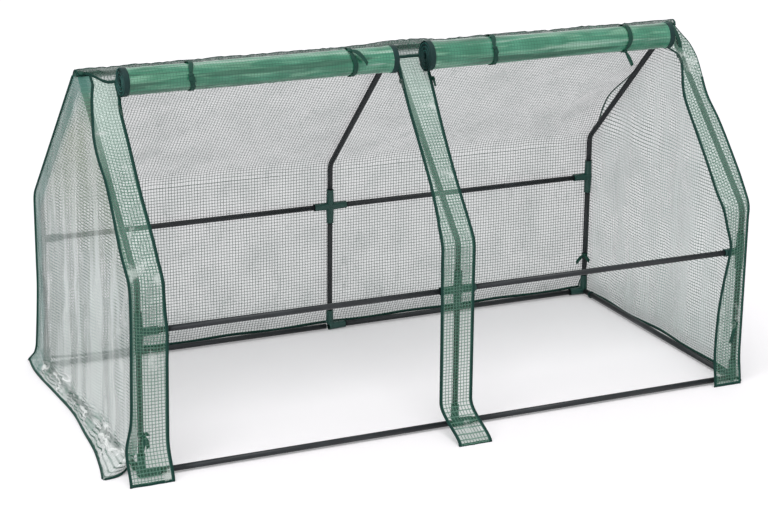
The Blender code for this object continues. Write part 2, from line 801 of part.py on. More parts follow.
def slider_mesh():
    """A zip slider: two plates and a post beside the film's edge, and the bridge for its tab.

    Local +Z is off the film and +Y is up the zip. The film's inner face is at z = 0, and its edge
    is a post's half width and a gap away from x = 0, so one slider fits either side of a door.
    """
    top = FILM + GAP + SLIDER_PLATE
    length = SLIDER_LENGTH / 2
    width = SLIDER_WIDTH / 2
    bridge = BRIDGE_LENGTH / 2
    side = BRIDGE_WIDTH / 2
    post = SLIDER_POST / 2
    roof = top + BRIDGE_HEIGHT
    bar = BRIDGE_BAR
    sunk = SLIDER_PLATE / 2
    boxes = [
        ((-width, -length, -GAP - SLIDER_PLATE), (width, length, -GAP)),
        ((-width, -length, FILM + GAP), (width, length, top)),
        ((-post, 0, -GAP - sunk), (post, length * 0.9, FILM + GAP + sunk)),
        ((-side, -bridge, roof - bar), (side, bridge, roof)),
        ((-side, -bridge, top - sunk), (side, -bridge + bar, roof - bar / 2)),
        ((-side, bridge - bar, top - sunk), (side, bridge, roof - bar / 2)),
    ]
    return union_of_boxes("zip_slider", boxes, SLIDER_PLATE * 0.2)


def tab_hinge():
    """Where a tab's cross bar turns, in its slider's own axes: under the bridge, off the plate."""
    top = FILM + GAP + SLIDER_PLATE
    room = BRIDGE_HEIGHT - BRIDGE_BAR
    return Vector((0, 0, top + room / 2))


def tab_mesh():
    """A pull tab that hangs along -Y from its cross bar: a window round the bridge, then a ribbed grip."""
    half = TAB_THICKNESS / 2
    side = TAB_WIDTH / 2
    window = BRIDGE_LENGTH / 2 + BRIDGE_HEIGHT
    boxes = [
        ((-side, -half, -half), (side, half, half)),
        ((-side, -window - half, -half), (-side + TAB_SIDE, half, half)),
        ((side - TAB_SIDE, -window - half, -half), (side, half, half)),
        ((-side, -TAB_LENGTH, -half), (side, -window, half)),
    ]
    for rib in range(TAB_RIBS):
        start = -window - (TAB_LENGTH - window) * (FIRST_RIB + RIB_STEP * rib)
        boxes.append(((-side * 0.7, start - TAB_THICKNESS, -half), (side * 0.7, start, half * 1.5)))
    return union_of_boxes("zip_pull_tab", boxes, 0.0)


def slider_matrix(edge, frame_x, door_side):
    """Stands a slider beside a strip's edge. door_side is 1 where the door is on the strip's right."""
    top = HEADER_LENGTH + GAP
    lean = (edge[1] - edge[0]) / (SLOPE_LENGTH - BEND_TANGENT - top)
    down = (DOWN_SLOPE + Vector((lean, 0, 0))).normalized()
    beside = (SLIDER_POST / 2 + GAP) * door_side
    x = frame_x + edge[0] + lean * (SLIDER_REST - top) + beside
    place = slope_point(x, SLIDER_REST, COVER_OFFSET)
    across = OFF_SLOPE.cross(down)
    axes = Matrix((across, -down, OFF_SLOPE)).transposed()
    return Matrix.Translation(place) @ axes.to_4x4(), down


def make_zips():
    edges = (
        ("left_door_left", LEFT_STRIP_EDGE, -LENGTH / 2, 1),
        ("left_door_right", MIDDLE_STRIP_LEFT_EDGE, 0.0, -1),
        ("right_door_left", MIDDLE_STRIP_RIGHT_EDGE, 0.0, 1),
        ("right_door_right", RIGHT_STRIP_EDGE, LENGTH / 2, -1),
    )
    body = slider_mesh()
    tab = tab_mesh()
    for name, edge, frame_x, door_side in edges:
        matrix, down = slider_matrix(edge, frame_x, door_side)
        slider = add_part(f"{name}_zip_slider", body, "zip_metal", matrix)
        pull = add_part(f"{name}_pull_tab", tab, "zip_metal")
        pull.parent = slider
        pull.location = tab_hinge()
        hinge = matrix @ tab_hinge()
        print(name, "slides along", [round(v, 5) for v in down], "tab hinge", [round(v, 5) for v in hinge])


clear_scene()
PARTS = new_collection("greenhouse")
CUTTERS = new_collection("cutters")
make_tubes()
make_connectors()
make_cover()
make_doors()
make_frame_tie()
make_zips()
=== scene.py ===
"""The looks of a low garden greenhouse: a push-fit steel frame, a fitted film cover and two rolled doors."""

import math

import bmesh
import bpy
from mathutils import Matrix, Vector, noise


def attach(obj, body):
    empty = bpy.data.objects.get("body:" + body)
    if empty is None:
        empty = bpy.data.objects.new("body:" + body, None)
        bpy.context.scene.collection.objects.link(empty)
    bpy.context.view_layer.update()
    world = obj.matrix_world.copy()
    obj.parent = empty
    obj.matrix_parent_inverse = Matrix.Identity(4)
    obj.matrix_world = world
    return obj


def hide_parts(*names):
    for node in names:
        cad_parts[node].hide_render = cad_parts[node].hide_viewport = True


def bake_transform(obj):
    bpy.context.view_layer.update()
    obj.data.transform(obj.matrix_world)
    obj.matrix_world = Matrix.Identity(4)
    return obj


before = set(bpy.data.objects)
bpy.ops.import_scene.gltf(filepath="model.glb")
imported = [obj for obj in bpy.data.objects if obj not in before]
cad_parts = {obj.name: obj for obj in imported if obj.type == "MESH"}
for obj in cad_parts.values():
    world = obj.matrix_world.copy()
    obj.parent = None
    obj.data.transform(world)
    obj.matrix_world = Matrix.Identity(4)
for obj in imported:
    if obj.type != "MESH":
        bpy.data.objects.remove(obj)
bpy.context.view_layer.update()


# Studio: a white floor that runs out of sight under a pale sky, a large soft lamp above and a smaller one
# in front on the left. The camera is where the photographer stood, with a long lens, and is not shifted.

CAMERA_PLACE = (-2.484, -5.339, 2.2164)
CAMERA_TURN = 24.79
CAMERA_DOWN = 17.46
CAMERA_TILT = 0.65
LENS = 100.8
FLOOR_SIZE = 60.0
SKY_ON_OBJECT = 0.63
FLOOR_LIFT = 0.17
SENSOR_WIDTH = 36
FAR_CLIP = 100
LAMP_SPREAD = math.radians(35)
SOFTBOX_SIZE = 1.4
LAYERS_PASSED = 48


def colour(code):
    """An sRGB hex colour as linear red, green and blue, and an alpha of 1."""
    parts = [int(code[start:start + 2], 16) / 255 for start in (1, 3, 5)]
    linear = [part / 12.92 if part <= 0.04045 else ((part + 0.055) / 1.055) ** 2.4 for part in parts]
    return (*linear, 1.0)


def add_node(tree, kind, inputs=None, **settings):
    """Adds a node with its settings. inputs gives a socket a value or links another node's socket to it."""
    node = tree.nodes.new(kind)
    for name, value in settings.items():
        setattr(node, name, value)
    for name, value in (inputs or {}).items():
        if isinstance(value, bpy.types.NodeSocket):
            tree.links.new(value, node.inputs[name])
        else:
            node.inputs[name].default_value = value
    return node


def arithmetic(tree, operation, *values):
    """One step of arithmetic on numbers or sockets."""
    return add_node(tree, "ShaderNodeMath", dict(enumerate(values)), operation=operation).outputs[0]


def seen_directly(tree):
    """1 for what the camera, a reflection or a view through the film shows, and 0 for light on the object."""
    path = add_node(tree, "ShaderNodeLightPath").outputs
    first = arithmetic(tree, "MAXIMUM", path["Is Camera Ray"], path["Is Glossy Ray"])
    return arithmetic(tree, "MAXIMUM", first, path["Is Transmission Ray"])


def link_to_scene(item):
    """Puts an object in the scene, and returns it."""
    bpy.context.scene.collection.objects.link(item)
    return item


sky = bpy.data.worlds.new("pale sky")
bpy.context.scene.world = sky
sky.use_nodes = True
sky.node_tree.nodes.clear()
sky_strength = add_node(
    sky.node_tree, "ShaderNodeMapRange", {"Value": seen_directly(sky.node_tree), "To Min": SKY_ON_OBJECT}
)
sky_light = add_node(
    sky.node_tree, "ShaderNodeBackground",
    {"Color": colour("#FFFFFF"), "Strength": sky_strength.outputs["Result"]},
)
add_node(sky.node_tree, "ShaderNodeOutputWorld", {"Surface": sky_light.outputs["Background"]})

floor_paint = bpy.data.materials.new("matt white studio floor")
floor_paint.use_nodes = True
floor_paint.node_tree.nodes.clear()
floor_matt = add_node(floor_paint.node_tree, "ShaderNodeBsdfDiffuse", {"Color": colour("#F3F0F3")})
floor_glow = arithmetic(floor_paint.node_tree, "MULTIPLY", seen_directly(floor_paint.node_tree), FLOOR_LIFT)
floor_light = add_node(
    floor_paint.node_tree, "ShaderNodeEmission", {"Color": colour("#FFFFFF"), "Strength": floor_glow}
)
floor_sum = add_node(
    floor_paint.node_tree, "ShaderNodeAddShader",
    {0: floor_matt.outputs[0], 1: floor_light.outputs[0]},
)
add_node(floor_paint.node_tree, "ShaderNodeOutputMaterial", {"Surface": floor_sum.outputs[0]})

floor_shape = bmesh.new()
bmesh.ops.create_grid(floor_shape, x_segments=1, y_segments=1, size=FLOOR_SIZE / 2)
floor_mesh = bpy.data.meshes.new("studio_floor")
floor_shape.to_mesh(floor_mesh)
floor_shape.free()
floor_mesh.materials.append(floor_paint)
floor = link_to_scene(bpy.data.objects.new("studio_floor", floor_mesh))

camera_lens = bpy.data.cameras.new("camera")
camera_lens.lens = LENS
camera_lens.sensor_width = SENSOR_WIDTH
camera_lens.clip_end = FAR_CLIP
camera = link_to_scene(bpy.data.objects.new("camera", camera_lens))
camera_turn = Matrix.Rotation(math.radians(-CAMERA_TURN), 4, "Z")
camera_turn @= Matrix.Rotation(math.radians(90 - CAMERA_DOWN), 4, "X")
camera_turn @= Matrix.Rotation(math.radians(CAMERA_TILT), 4, "Z")
camera.matrix_world = Matrix.Translation(CAMERA_PLACE) @ camera_turn
bpy.context.scene.camera = camera


def add_lamp(name, kind, place, aim, power):
    """A lamp at a place that shines towards another."""
    lamp = bpy.data.lights.new(name, kind)
    lamp.energy = power
    item = link_to_scene(bpy.data.objects.new(name, lamp))
    item.location = place
    item.rotation_euler = (Vector(aim) - Vector(place)).to_track_quat("-Z", "Y").to_euler()
    return lamp


overhead = add_lamp("lamp_overhead", "SUN", (-0.8, -1.2, 4.0), (0.0, 0.0, 0.0), 1.25)
overhead.angle = LAMP_SPREAD
softbox = add_lamp("lamp_front_left", "AREA", (-4.4, -2.6, 2.4), (-0.6, 0.0, 0.4), 40)
softbox.shape = "SQUARE"
softbox.size = SOFTBOX_SIZE

bpy.context.scene.view_settings.view_transform = "Standard"
# Light and sight pass many sheets of film and their tapes in a row, and never stop halfway as black.
bpy.context.scene.cycles.transparent_max_bounces = LAYERS_PASSED


# Frame tubes: thin steel tube, 16 mm across, powder coated dark grey and cut to length. Six of them are bent
# once, from the wall into the roof slope. All are pushed into moulded sockets up to a stop.

LENGTH = 1.80
WIDTH = 0.87
BASE_Z = 0.0124
MID_Z = BASE_Z + 0.385
BEND_Z = BASE_Z + 0.515
RIDGE_Z = BASE_Z + 0.957
BEND_RADIUS = 0.045
TUBE_RADIUS = 0.008
TUBE_WALL = 0.0006
TUBE_STOP = 0.0125
TUBE_SIDES = 28
BEND_STEPS = 12
ROOF_PITCH = math.atan2(RIDGE_Z - BEND_Z, WIDTH / 2)
BEND_TURN = math.pi / 2 - ROOF_PITCH
BEND_TANGENT = BEND_RADIUS * math.tan(BEND_TURN / 2)


def new_finish(name, **sockets):
    """A material with one main shader; the names of its sockets are written with _ for a space."""
    made = bpy.data.materials.new(name)
    made.use_nodes = True
    tree = made.node_tree
    tree.nodes.clear()
    shader = add_node(
        tree, "ShaderNodeBsdfPrincipled", {key.replace("_", " "): value for key, value in sockets.items()}
    )
    add_node(tree, "ShaderNodeOutputMaterial", {"Surface": shader.outputs["BSDF"]})
    return made, tree, shader


def object_place(tree, scale=(1, 1, 1), turn=(0, 0, 0)):
    """Where a point is on the object, in metres times scale."""
    spot = add_node(tree, "ShaderNodeTexCoord")
    sized = add_node(
        tree, "ShaderNodeMapping", {"Vector": spot.outputs["Object"], "Scale": scale, "Rotation": turn}
    )
    return sized.outputs["Vector"]


def mixed(tree, share, low, high):
    """A colour between two: a share of 0 gives low and of 1 gives high."""
    node = add_node(tree, "ShaderNodeMix", data_type="RGBA")
    for socket, value in ((node.inputs[0], share), (node.inputs[6], low), (node.inputs[7], high)):
        if isinstance(value, bpy.types.NodeSocket):
            tree.links.new(value, socket)
        else:
            socket.default_value = value
    return node.outputs[2]


def ranged(tree, value, low, high, new_low, new_high):
    """A value taken from one range to another, and held inside it."""
    inputs = {"Value": value, "From Min": low, "From Max": high, "To Min": new_low, "To Max": new_high}
    return add_node(tree, "ShaderNodeMapRange", inputs).outputs["Result"]


def cloudy(tree, scale, detail, stretch=(1, 1, 1), distortion=0.0):
    """A soft pattern of 0 to 1 on the object; scale is in patches per metre."""
    inputs = {"Vector": object_place(tree, stretch), "Scale": scale, "Detail": detail}
    inputs["Distortion"] = distortion
    return add_node(tree, "ShaderNodeTexNoise", inputs).outputs["Fac"]


def bumped(tree, shader, height, depth):
    """Raises the surface by a height of 0 to 1 times a depth in metres."""
    bump = add_node(tree, "ShaderNodeBump", {"Height": height, "Distance": depth, "Strength": 1.0})
    tree.links.new(bump.outputs["Normal"], shader.inputs["Normal"])


# Powder coat is a baked plastic skin: half matt, with an even fine orange peel about 1.5 mm across, and
# rubbed a little paler in places where the tube has been pushed in and out of its sockets.
powder_coat, tree, shader = new_finish("powder coated steel", Roughness=0.42, Specular_IOR_Level=0.35)
rubbed = ranged(tree, cloudy(tree, 14.0, 6.0), 0.52, 0.78, 0.0, 0.5)
coat_tint = mixed(tree, rubbed, colour("#212528"), colour("#363B3F"))
tree.links.new(coat_tint, shader.inputs["Base Color"])
bumped(tree, shader, cloudy(tree, 650.0, 2.0), 0.0001)


def finished(name, shape, body, finish, stands_for=()):
    """Turns a bmesh into a piece that rides on a body, has a finish and stands for its CAD nodes."""
    mesh = bpy.data.meshes.new(name)
    shape.to_mesh(mesh)
    shape.free()
    mesh.materials.append(finish)
    for face in mesh.polygons:
        face.use_smooth = True
    piece = link_to_scene(bpy.data.objects.new(name, mesh))
    if body:
        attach(piece, body)
    if stands_for:
        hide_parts(*stands_for)
    return piece


def thickened(piece, thickness, offset=0):
    """Gives a sheet its thickness: about its middle, or with an offset of -1 all of it inwards."""
    layer = piece.modifiers.new("thickness", "SOLIDIFY")
    layer.thickness = thickness
    layer.offset = offset


def turned_along(way):
    """The turn that takes upright to a way."""
    return Vector((0, 0, 1)).rotation_difference(Vector(way)).to_matrix().to_4x4()


def tube_end(place, way):
    """A ring of points on the end of a tube, and its bmesh."""
    shape = bmesh.new()
    placed = Matrix.Translation(place) @ turned_along(way)
    ring = bmesh.ops.create_circle(shape, segments=TUBE_SIDES, radius=TUBE_RADIUS, matrix=placed)
    return shape, ring["verts"]


def drawn_out(shape, step):
    """Extrudes the open end of a tube by a step, and returns its new end."""
    ring = [edge for edge in shape.edges if edge.select]
    moved = bmesh.ops.extrude_edge_only(shape, edges=ring)["geom"]
    points = [part for part in moved if isinstance(part, bmesh.types.BMVert)]
    bmesh.ops.translate(shape, vec=step, verts=points)
    for edge in ring:
        edge.select = False
    for part in moved:
        if isinstance(part, bmesh.types.BMEdge):
            part.select = all(point in points for point in part.verts)


def steel_tube(name, start, way, first, bend=None, last=0.0):
    """A tube from start, straight for its first length and, if it has a bend, round it and on."""
    shape, ring = tube_end(start, way)
    for edge in shape.edges:
        edge.select = True
    drawn_out(shape, way * first)
    if bend:
        centre, axis, turn = bend
        end = [edge for edge in shape.edges if edge.select]
        for edge in end:
            edge.select = False
        spun = bmesh.ops.spin(
            shape, geom=end, cent=centre, axis=axis, angle=turn, steps=BEND_STEPS, use_duplicate=False
        )
        for part in spun["geom_last"]:
            if isinstance(part, bmesh.types.BMEdge):
                part.select = True
        drawn_out(shape, (Matrix.Rotation(turn, 3, axis) @ way) * last)
    bmesh.ops.recalc_face_normals(shape, faces=shape.faces)
    piece = finished(f"{name}_steel", shape, "frame_and_cover", powder_coat, [name])
    thickened(piece, TUBE_WALL, -1)


HALF, SIDE = LENGTH / 2, WIDTH / 2
RAIL = HALF - 2 * TUBE_STOP
for side_name, side in (("front", -1), ("rear", 1)):
    for half, start in (("left", -HALF), ("right", 0.0)):
        for rail, z in (("base_rail", BASE_Z), ("mid_rail", MID_Z)):
            spot = Vector((start + TUBE_STOP, side * SIDE, z))
            steel_tube(f"{rail}_{side_name}_{half}", spot, Vector((1, 0, 0)), RAIL)
    for post, x in (("left", -HALF), ("middle", 0.0), ("right", HALF)):
        up = Vector((0, 0, 1))
        post_length = MID_Z - BASE_Z - 2 * TUBE_STOP
        foot = Vector((x, side * SIDE, BASE_Z + TUBE_STOP))
        steel_tube(f"lower_post_{side_name}_{post}", foot, up, post_length)
        foot = Vector((x, side * SIDE, MID_Z + TUBE_STOP))
        bend_start = BEND_Z - BEND_TANGENT
        bend = (Vector((x, side * (SIDE - BEND_RADIUS), bend_start)), Vector((side, 0, 0)), BEND_TURN)
        slope = math.hypot(RIDGE_Z - BEND_Z, SIDE) - BEND_TANGENT - TUBE_STOP
        steel_tube(f"roof_tube_{side_name}_{post}", foot, up, bend_start - MID_Z - TUBE_STOP, bend, slope)
for half, start in (("left", -HALF), ("right", 0.0)):
    steel_tube(f"ridge_tube_{half}", Vector((start + TUBE_STOP, 0, RIDGE_Z)), Vector((1, 0, 0)), RAIL)
for end_name, x in (("left", -HALF), ("right", HALF)):
    spot = Vector((x, -SIDE + TUBE_STOP, BASE_Z))
    steel_tube(f"base_rail_{end_name}_end", spot, Vector((0, 1, 0)), WIDTH - 2 * TUBE_STOP)


# Connectors: injection moulded in dark green plastic, each one piece, with a tapered socket for every tube,
# a raised lip round each mouth and a stop inside. Those at the ridge's ends and middle have a round hub.

HUB_RADIUS = 0.0124
MOUTH_RADIUS = 0.0105
SOCKET_LENGTH = 0.052
SOCKET_ROOT = -0.004
LIP = 0.0028
LIP_RISE = 0.0008
PLAY = 0.0003
BORE_RADIUS = TUBE_RADIUS + PLAY
BALL_RADIUS = HUB_RADIUS * 1.02
EDGE_ROUND = 0.0004
ROUNDED_FROM = 40
SHARP_FROM = 35

# Moulded polypropylene: an even soft gloss, very slightly mottled, with a fine spark-eroded mould grain.
green_plastic, tree, shader = new_finish("moulded green polypropylene", Roughness=0.42)
plastic_tint = mixed(tree, cloudy(tree, 40.0, 3.0), colour("#0A3832"), colour("#124840"))
tree.links.new(plastic_tint, shader.inputs["Base Color"])
bumped(tree, shader, cloudy(tree, 900.0, 3.0), 0.00008)


def moulded(name, shape):
    """An object of its own that holds a bmesh's shape."""
    mesh = bpy.data.meshes.new(name)
    shape.to_mesh(mesh)
    shape.free()
    return bpy.data.objects.new(name, mesh)


def round_piece(name, way, start, stop, radius_start, radius_stop):
    """A capped cone along a way, between two distances from the middle of the connector."""
    shape = bmesh.new()
    bmesh.ops.create_cone(
        shape, cap_ends=True, segments=TUBE_SIDES, radius1=radius_start, radius2=radius_stop,
        depth=stop - start, matrix=turned_along(way) @ Matrix.Translation((0, 0, (start + stop) / 2)),
    )
    return moulded(name, shape)


def rounded_edges(item, radius, from_angle):
    """Rounds the edges that are sharper than an angle in degrees."""
    rounded = item.modifiers.new("rounded", "BEVEL")
    rounded.width = radius
    rounded.segments = 2
    rounded.limit_method = "ANGLE"
    rounded.angle_limit = math.radians(from_angle)


def connector_mesh(name, ways, ball):
    """All sockets joined to a hub, then bored out to each tube's stop.

    Known fault: the cones share surfaces with the hub and with each other, and the exact solver leaves the
    mesh open along them. The base tee lacks a socket, and what the ridge connectors lack differs by run.
    """
    shape = bmesh.new()
    if ball:
        bmesh.ops.create_uvsphere(shape, u_segments=TUBE_SIDES, v_segments=16, radius=BALL_RADIUS)
    else:
        bmesh.ops.create_icosphere(shape, subdivisions=3, radius=HUB_RADIUS)
    body = link_to_scene(moulded(name, shape))
    tools = []
    lip_radius = MOUTH_RADIUS + LIP_RISE
    for way in ways:
        socket = round_piece(name, way, SOCKET_ROOT, SOCKET_LENGTH, HUB_RADIUS, MOUTH_RADIUS)
        lip = round_piece(name, way, SOCKET_LENGTH - LIP, SOCKET_LENGTH, lip_radius, lip_radius)
        tools += [(socket, "UNION"), (lip, "UNION")]
    for way in ways:
        past = SOCKET_LENGTH + TUBE_RADIUS
        bore = round_piece(name, way, TUBE_STOP - PLAY, past, BORE_RADIUS, BORE_RADIUS)
        tools.append((bore, "DIFFERENCE"))
    for tool, operation in tools:
        link_to_scene(tool)
        joined = body.modifiers.new("join", "BOOLEAN")
        joined.object = tool
        joined.operation = operation
        joined.solver = "EXACT"
    rounded_edges(body, EDGE_ROUND, ROUNDED_FROM)
    bpy.context.view_layer.update()
    mesh = bpy.data.meshes.new_from_object(body.evaluated_get(bpy.context.evaluated_depsgraph_get()))
    for item in [body] + [tool for tool, operation in tools]:
        bpy.data.objects.remove(item, do_unlink=True)
    return mesh


def place_connector(name, mesh, place, quarter=0):
    """A connector at its place, turned by quarters."""
    shape = bmesh.new()
    shape.from_mesh(mesh)
    shape.transform(Matrix.Translation(Vector(place)) @ Matrix.Rotation(quarter * math.pi / 2, 4, "Z"))
    piece = finished(f"{name}_moulding", shape, "frame_and_cover", green_plastic, [name])
    piece.data.set_sharp_from_angle(angle=math.radians(SHARP_FROM))


to_right, to_back, upward = Vector((1, 0, 0)), Vector((0, 1, 0)), Vector((0, 0, 1))
slopes = [Vector((0, side * math.cos(ROOF_PITCH), -math.sin(ROOF_PITCH))) for side in (-1, 1)]
corner_mesh = connector_mesh("corner", [upward, to_right, to_back], False)
side_tee_mesh = connector_mesh("side_tee", [upward, -upward, to_right], False)
base_tee_mesh = connector_mesh("base_tee", [upward, to_right, -to_right], False)
cross_mesh = connector_mesh("cross", [upward, -upward, to_right, -to_right], False)
ridge_end_mesh = connector_mesh("ridge_end", slopes + [to_right], True)
ridge_middle_mesh = connector_mesh("ridge_middle", slopes + [to_right, -to_right], True)
corners = (("front_left", -1, -1), ("front_right", 1, -1), ("rear_right", 1, 1), ("rear_left", -1, 1))
for quarter, (corner_name, x, y) in enumerate(corners):
    place_connector(f"corner_connector_{corner_name}", corner_mesh, (x * HALF, y * SIDE, BASE_Z), quarter)
    tee_place = (x * HALF, y * SIDE, MID_Z)
    place_connector(f"side_tee_{corner_name}", side_tee_mesh, tee_place, 2 if x > 0 else 0)
for side_name, y in (("front", -SIDE), ("rear", SIDE)):
    place_connector(f"base_tee_{side_name}", base_tee_mesh, (0, y, BASE_Z))
    place_connector(f"side_cross_{side_name}", cross_mesh, (0, y, MID_Z))
place_connector("ridge_end_connector_left", ridge_end_mesh, (-HALF, 0, RIDGE_Z))
place_connector("ridge_end_connector_right", ridge_end_mesh, (HALF, 0, RIDGE_Z), 2)
place_connector("ridge_middle_connector", ridge_middle_mesh, (0, 0, RIDGE_Z))

# Cover film: clear polyethylene with a green thread grid laid in it, cut in lengths and sewn into one fitted
# cover. The rear wall and the roof are one length, which goes over the ridge to the header of the doors.

FILM_OFF = 0.0131
COVER_END_X = HALF + 0.0138
THREAD_PITCH = 0.009
THREAD_WIDTH = 0.0015
THREAD_BLUR = 0.3
# How much more the film hides in the painted sheen of its fold bands.
FOLD_SHEEN_HIDES = 0.4
CRUSH_BLUR = 0.03
HEADER = 0.040
SKIRT = 0.12
SLOPE = math.hypot(RIDGE_Z - BEND_Z, SIDE) - BEND_TANGENT
BEND_ARC = (BEND_RADIUS + FILM_OFF) * BEND_TURN
WALL = BEND_Z - BEND_TANGENT
DOWN_THE_SIDE = SLOPE + BEND_ARC + WALL
RIDGE_ARC = FILM_OFF * (math.pi / 2 - BEND_TURN)


def thread_grid(tree, spot, upright=THREAD_WIDTH, level=THREAD_WIDTH):
    """1 on the threads and 0 between them, from a place in metres on the flat film and the two widths."""
    parts = add_node(tree, "ShaderNodeSeparateXYZ", {"Vector": spot})
    masks = []
    for axis, width in (("X", upright), ("Y", level)):
        half = width / THREAD_PITCH / 2
        threads = arithmetic(tree, "MULTIPLY", parts.outputs[axis], 1 / THREAD_PITCH)
        off_thread = arithmetic(tree, "PINGPONG", threads, 0.5)
        masks.append(ranged(tree, off_thread, half * (1 - THREAD_BLUR), half * (1 + THREAD_BLUR), 1.0, 0.0))
    return arithmetic(tree, "MAXIMUM", *masks)


def between(tree, share, low, high):
    """A number between two: a share of 0 gives low and of 1 gives high."""
    return add_node(tree, "ShaderNodeMix", {0: share, 2: low, 3: high}, data_type="FLOAT").outputs[0]


def film_finish(name, film, thread, clear, threads_clear, milky, fold_sheen=0.0, gleams=0.0, crushed=None,
                widths=(THREAD_WIDTH, THREAD_WIDTH), above=None, sheen=None):
    """Film with its grid. clear is how much it hides between threads, and milky how much more in its haze.

    veiled pales the grid in upright bands, a painted sheen as on film that hangs in folds and shines, and
    gleams paints white highlights on it in patches. crushed gives two heights between which the film is
    crumpled, with painted shade and painted glints, and how white its glints are.
    widths are those of the upright and the level threads. above gives two heights between which the film
    changes, then its new colour, how much it hides and its threads' colour. sheen gives two between which it
    comes to shine, and how much.
    """
    made, tree, shader = new_finish(name, IOR=1.5)
    spot = add_node(tree, "ShaderNodeUVMap", uv_map="flat").outputs["UV"]
    height = add_node(tree, "ShaderNodeSeparateXYZ", {"Vector": object_place(tree)}).outputs["Z"]
    film_tint, thread_tint = colour(film), colour(thread)
    crease = cloudy(tree, 34.0, 5.0, (1, 1, 0.35), 1.2)
    # Painted sheen of hanging folds: in upright bands the grid is paled and the film hides more.
    fold_sheen_bands = ranged(tree, cloudy(tree, 15.0, 3.0, (1, 1, 0.10)), 0.48, 0.60, 0.0, fold_sheen)
    threads = thread_grid(tree, spot, *widths)
    grid = arithmetic(tree, "MULTIPLY", threads, arithmetic(tree, "SUBTRACT", 1.0, fold_sheen_bands))
    hidden = ranged(tree, cloudy(tree, 9.0, 4.0), 0.42, 0.70, clear, clear + milky)
    hidden = arithmetic(tree, "ADD", hidden, ranged(tree, crease, 0.58, 0.74, 0.0, milky))
    hidden = arithmetic(tree, "ADD", hidden, arithmetic(tree, "MULTIPLY", fold_sheen_bands, FOLD_SHEEN_HIDES))
    if above:
        first, last, film_above, hidden_above, thread_above = above
        raised = ranged(tree, height, first, last, 0.0, 1.0)
        film_tint = mixed(tree, raised, film_tint, colour(film_above))
        thread_tint = mixed(tree, raised, thread_tint, colour(thread_above))
        hidden = between(tree, raised, hidden, hidden_above)
    alpha = between(tree, grid, hidden, threads_clear)
    tint = mixed(tree, grid, film_tint, thread_tint)
    if sheen:
        first, last, most = sheen
        shine = ranged(tree, height, first, last, 0.0, most)
        tint = mixed(tree, shine, tint, colour("#E2F0E9"))
        alpha = between(tree, shine, alpha, 1.0)
    if gleams:
        # Painted highlights: white patches where the film catches the light.
        gleam = ranged(tree, cloudy(tree, 13.0, 4.0, (1, 1, 0.6), 0.8), 0.60, 0.68, 0.0, gleams)
        tint = mixed(tree, gleam, tint, colour("#F1F6F3"))
        alpha = arithmetic(tree, "MAXIMUM", alpha, gleam)
    if crushed:
        first, last, whiteness = crushed
        low = ranged(tree, height, last - CRUSH_BLUR, last, 1.0, 0.0)
        low = arithmetic(tree, "MULTIPLY", ranged(tree, height, first, first + 0.012, 0.0, 1.0), low)
        # Painted shade in the crumples' hollows and painted glints on their ridges, in blotches.
        blotch = cloudy(tree, 30.0, 4.0, (0.6, 0.35, 1.3), 1.2)
        shadow = arithmetic(tree, "MULTIPLY", low, ranged(tree, blotch, 0.36, 0.46, 0.65, 0.0))
        glint = arithmetic(tree, "MULTIPLY", low, ranged(tree, blotch, 0.54, 0.61, 0.0, whiteness))
        tint = mixed(tree, glint, mixed(tree, shadow, tint, colour("#3C7561")), colour("#F7FBF9"))
        alpha = arithmetic(tree, "MAXIMUM", arithmetic(tree, "MAXIMUM", alpha, shadow), glint)
    tree.links.new(alpha, shader.inputs["Alpha"])
    tree.links.new(tint, shader.inputs["Base Color"])
    tree.links.new(ranged(tree, grid, 0.0, 1.0, 0.16, 0.5), shader.inputs["Roughness"])
    bumped(tree, shader, arithmetic(tree, "MULTIPLY_ADD", crease, 2.2, grid), 0.0004)
    return made, tree, shader


# The film of the wall and roof, pulled flat: faintly hazed, and darker where it turns over the ridge tube,
# where it is crumpled with painted shade and painted glints.
wall_film = film_finish(
    "grid film of the wall and roof", "#A5B5AF", "#1A4538", 0.40, 0.93, 0.12, crushed=(0.968, 1.10, 0.15),
    above=(0.966, 0.974, "#2F5145", 0.62, "#1A4538"),
)[0]


def smooth(value):
    """Rises gently from 0 to 1 as the value does."""
    held = min(max(value, 0.0), 1.0)
    return held * held * (3 - 2 * held)


def curve_through(spots, where):
    """The height of a smooth curve through spots, each a place along it and a height."""
    if where >= spots[-1][0]:
        return spots[-1][1]
    chain = [spots[0], *spots, spots[-1]]
    for (a, first), (b, second), (c, third), (d, fourth) in zip(chain, chain[1:], chain[2:], chain[3:]):
        if where <= c:
            run = c - b
            share = min(max((where - b) / run, 0.0), 1.0)
            swing = share * (1 - share) * run
            leaving, arriving = (third - first) / (c - a), (fourth - second) / (d - b)
            bent = swing * ((1 - share) * leaving - share * arriving)
            return second + (third - second) * smooth(share) + bent
    return spots[-1][1]


def down_side(down, off=FILM_OFF):
    """A place on the cover's section, down from the ridge: its reach from the middle, and its height."""
    if down < SLOPE:
        reach = down * math.cos(ROOF_PITCH) + off * math.sin(ROOF_PITCH)
        return reach, RIDGE_Z - down * math.sin(ROOF_PITCH) + off * math.cos(ROOF_PITCH)
    arc = (BEND_RADIUS + off) * BEND_TURN
    turn = BEND_TURN * (1 - min((down - SLOPE) / arc, 1.0))
    reach = SIDE - BEND_RADIUS + (BEND_RADIUS + off) * math.cos(turn)
    z = BEND_Z - BEND_TANGENT + (BEND_RADIUS + off) * math.sin(turn)
    return reach, z - max(down - SLOPE - arc, 0.0)


def skirt_share(z, height=SKIRT):
    """How much of its full flare the skirt has at a height."""
    return (1 - smooth(z / height)) ** 1.6 if z < height else 0.0


def wrinkle(across, along, size, seed, stretch=1.0):
    """A crease pattern from -1 to 1: soft hollows with sharp ridges between them."""
    spot = Vector((across / size, along / size / stretch, seed))
    return 1 - 2 * abs(noise.noise(spot) + 0.5 * noise.noise(spot * 2.3)) * 1.6


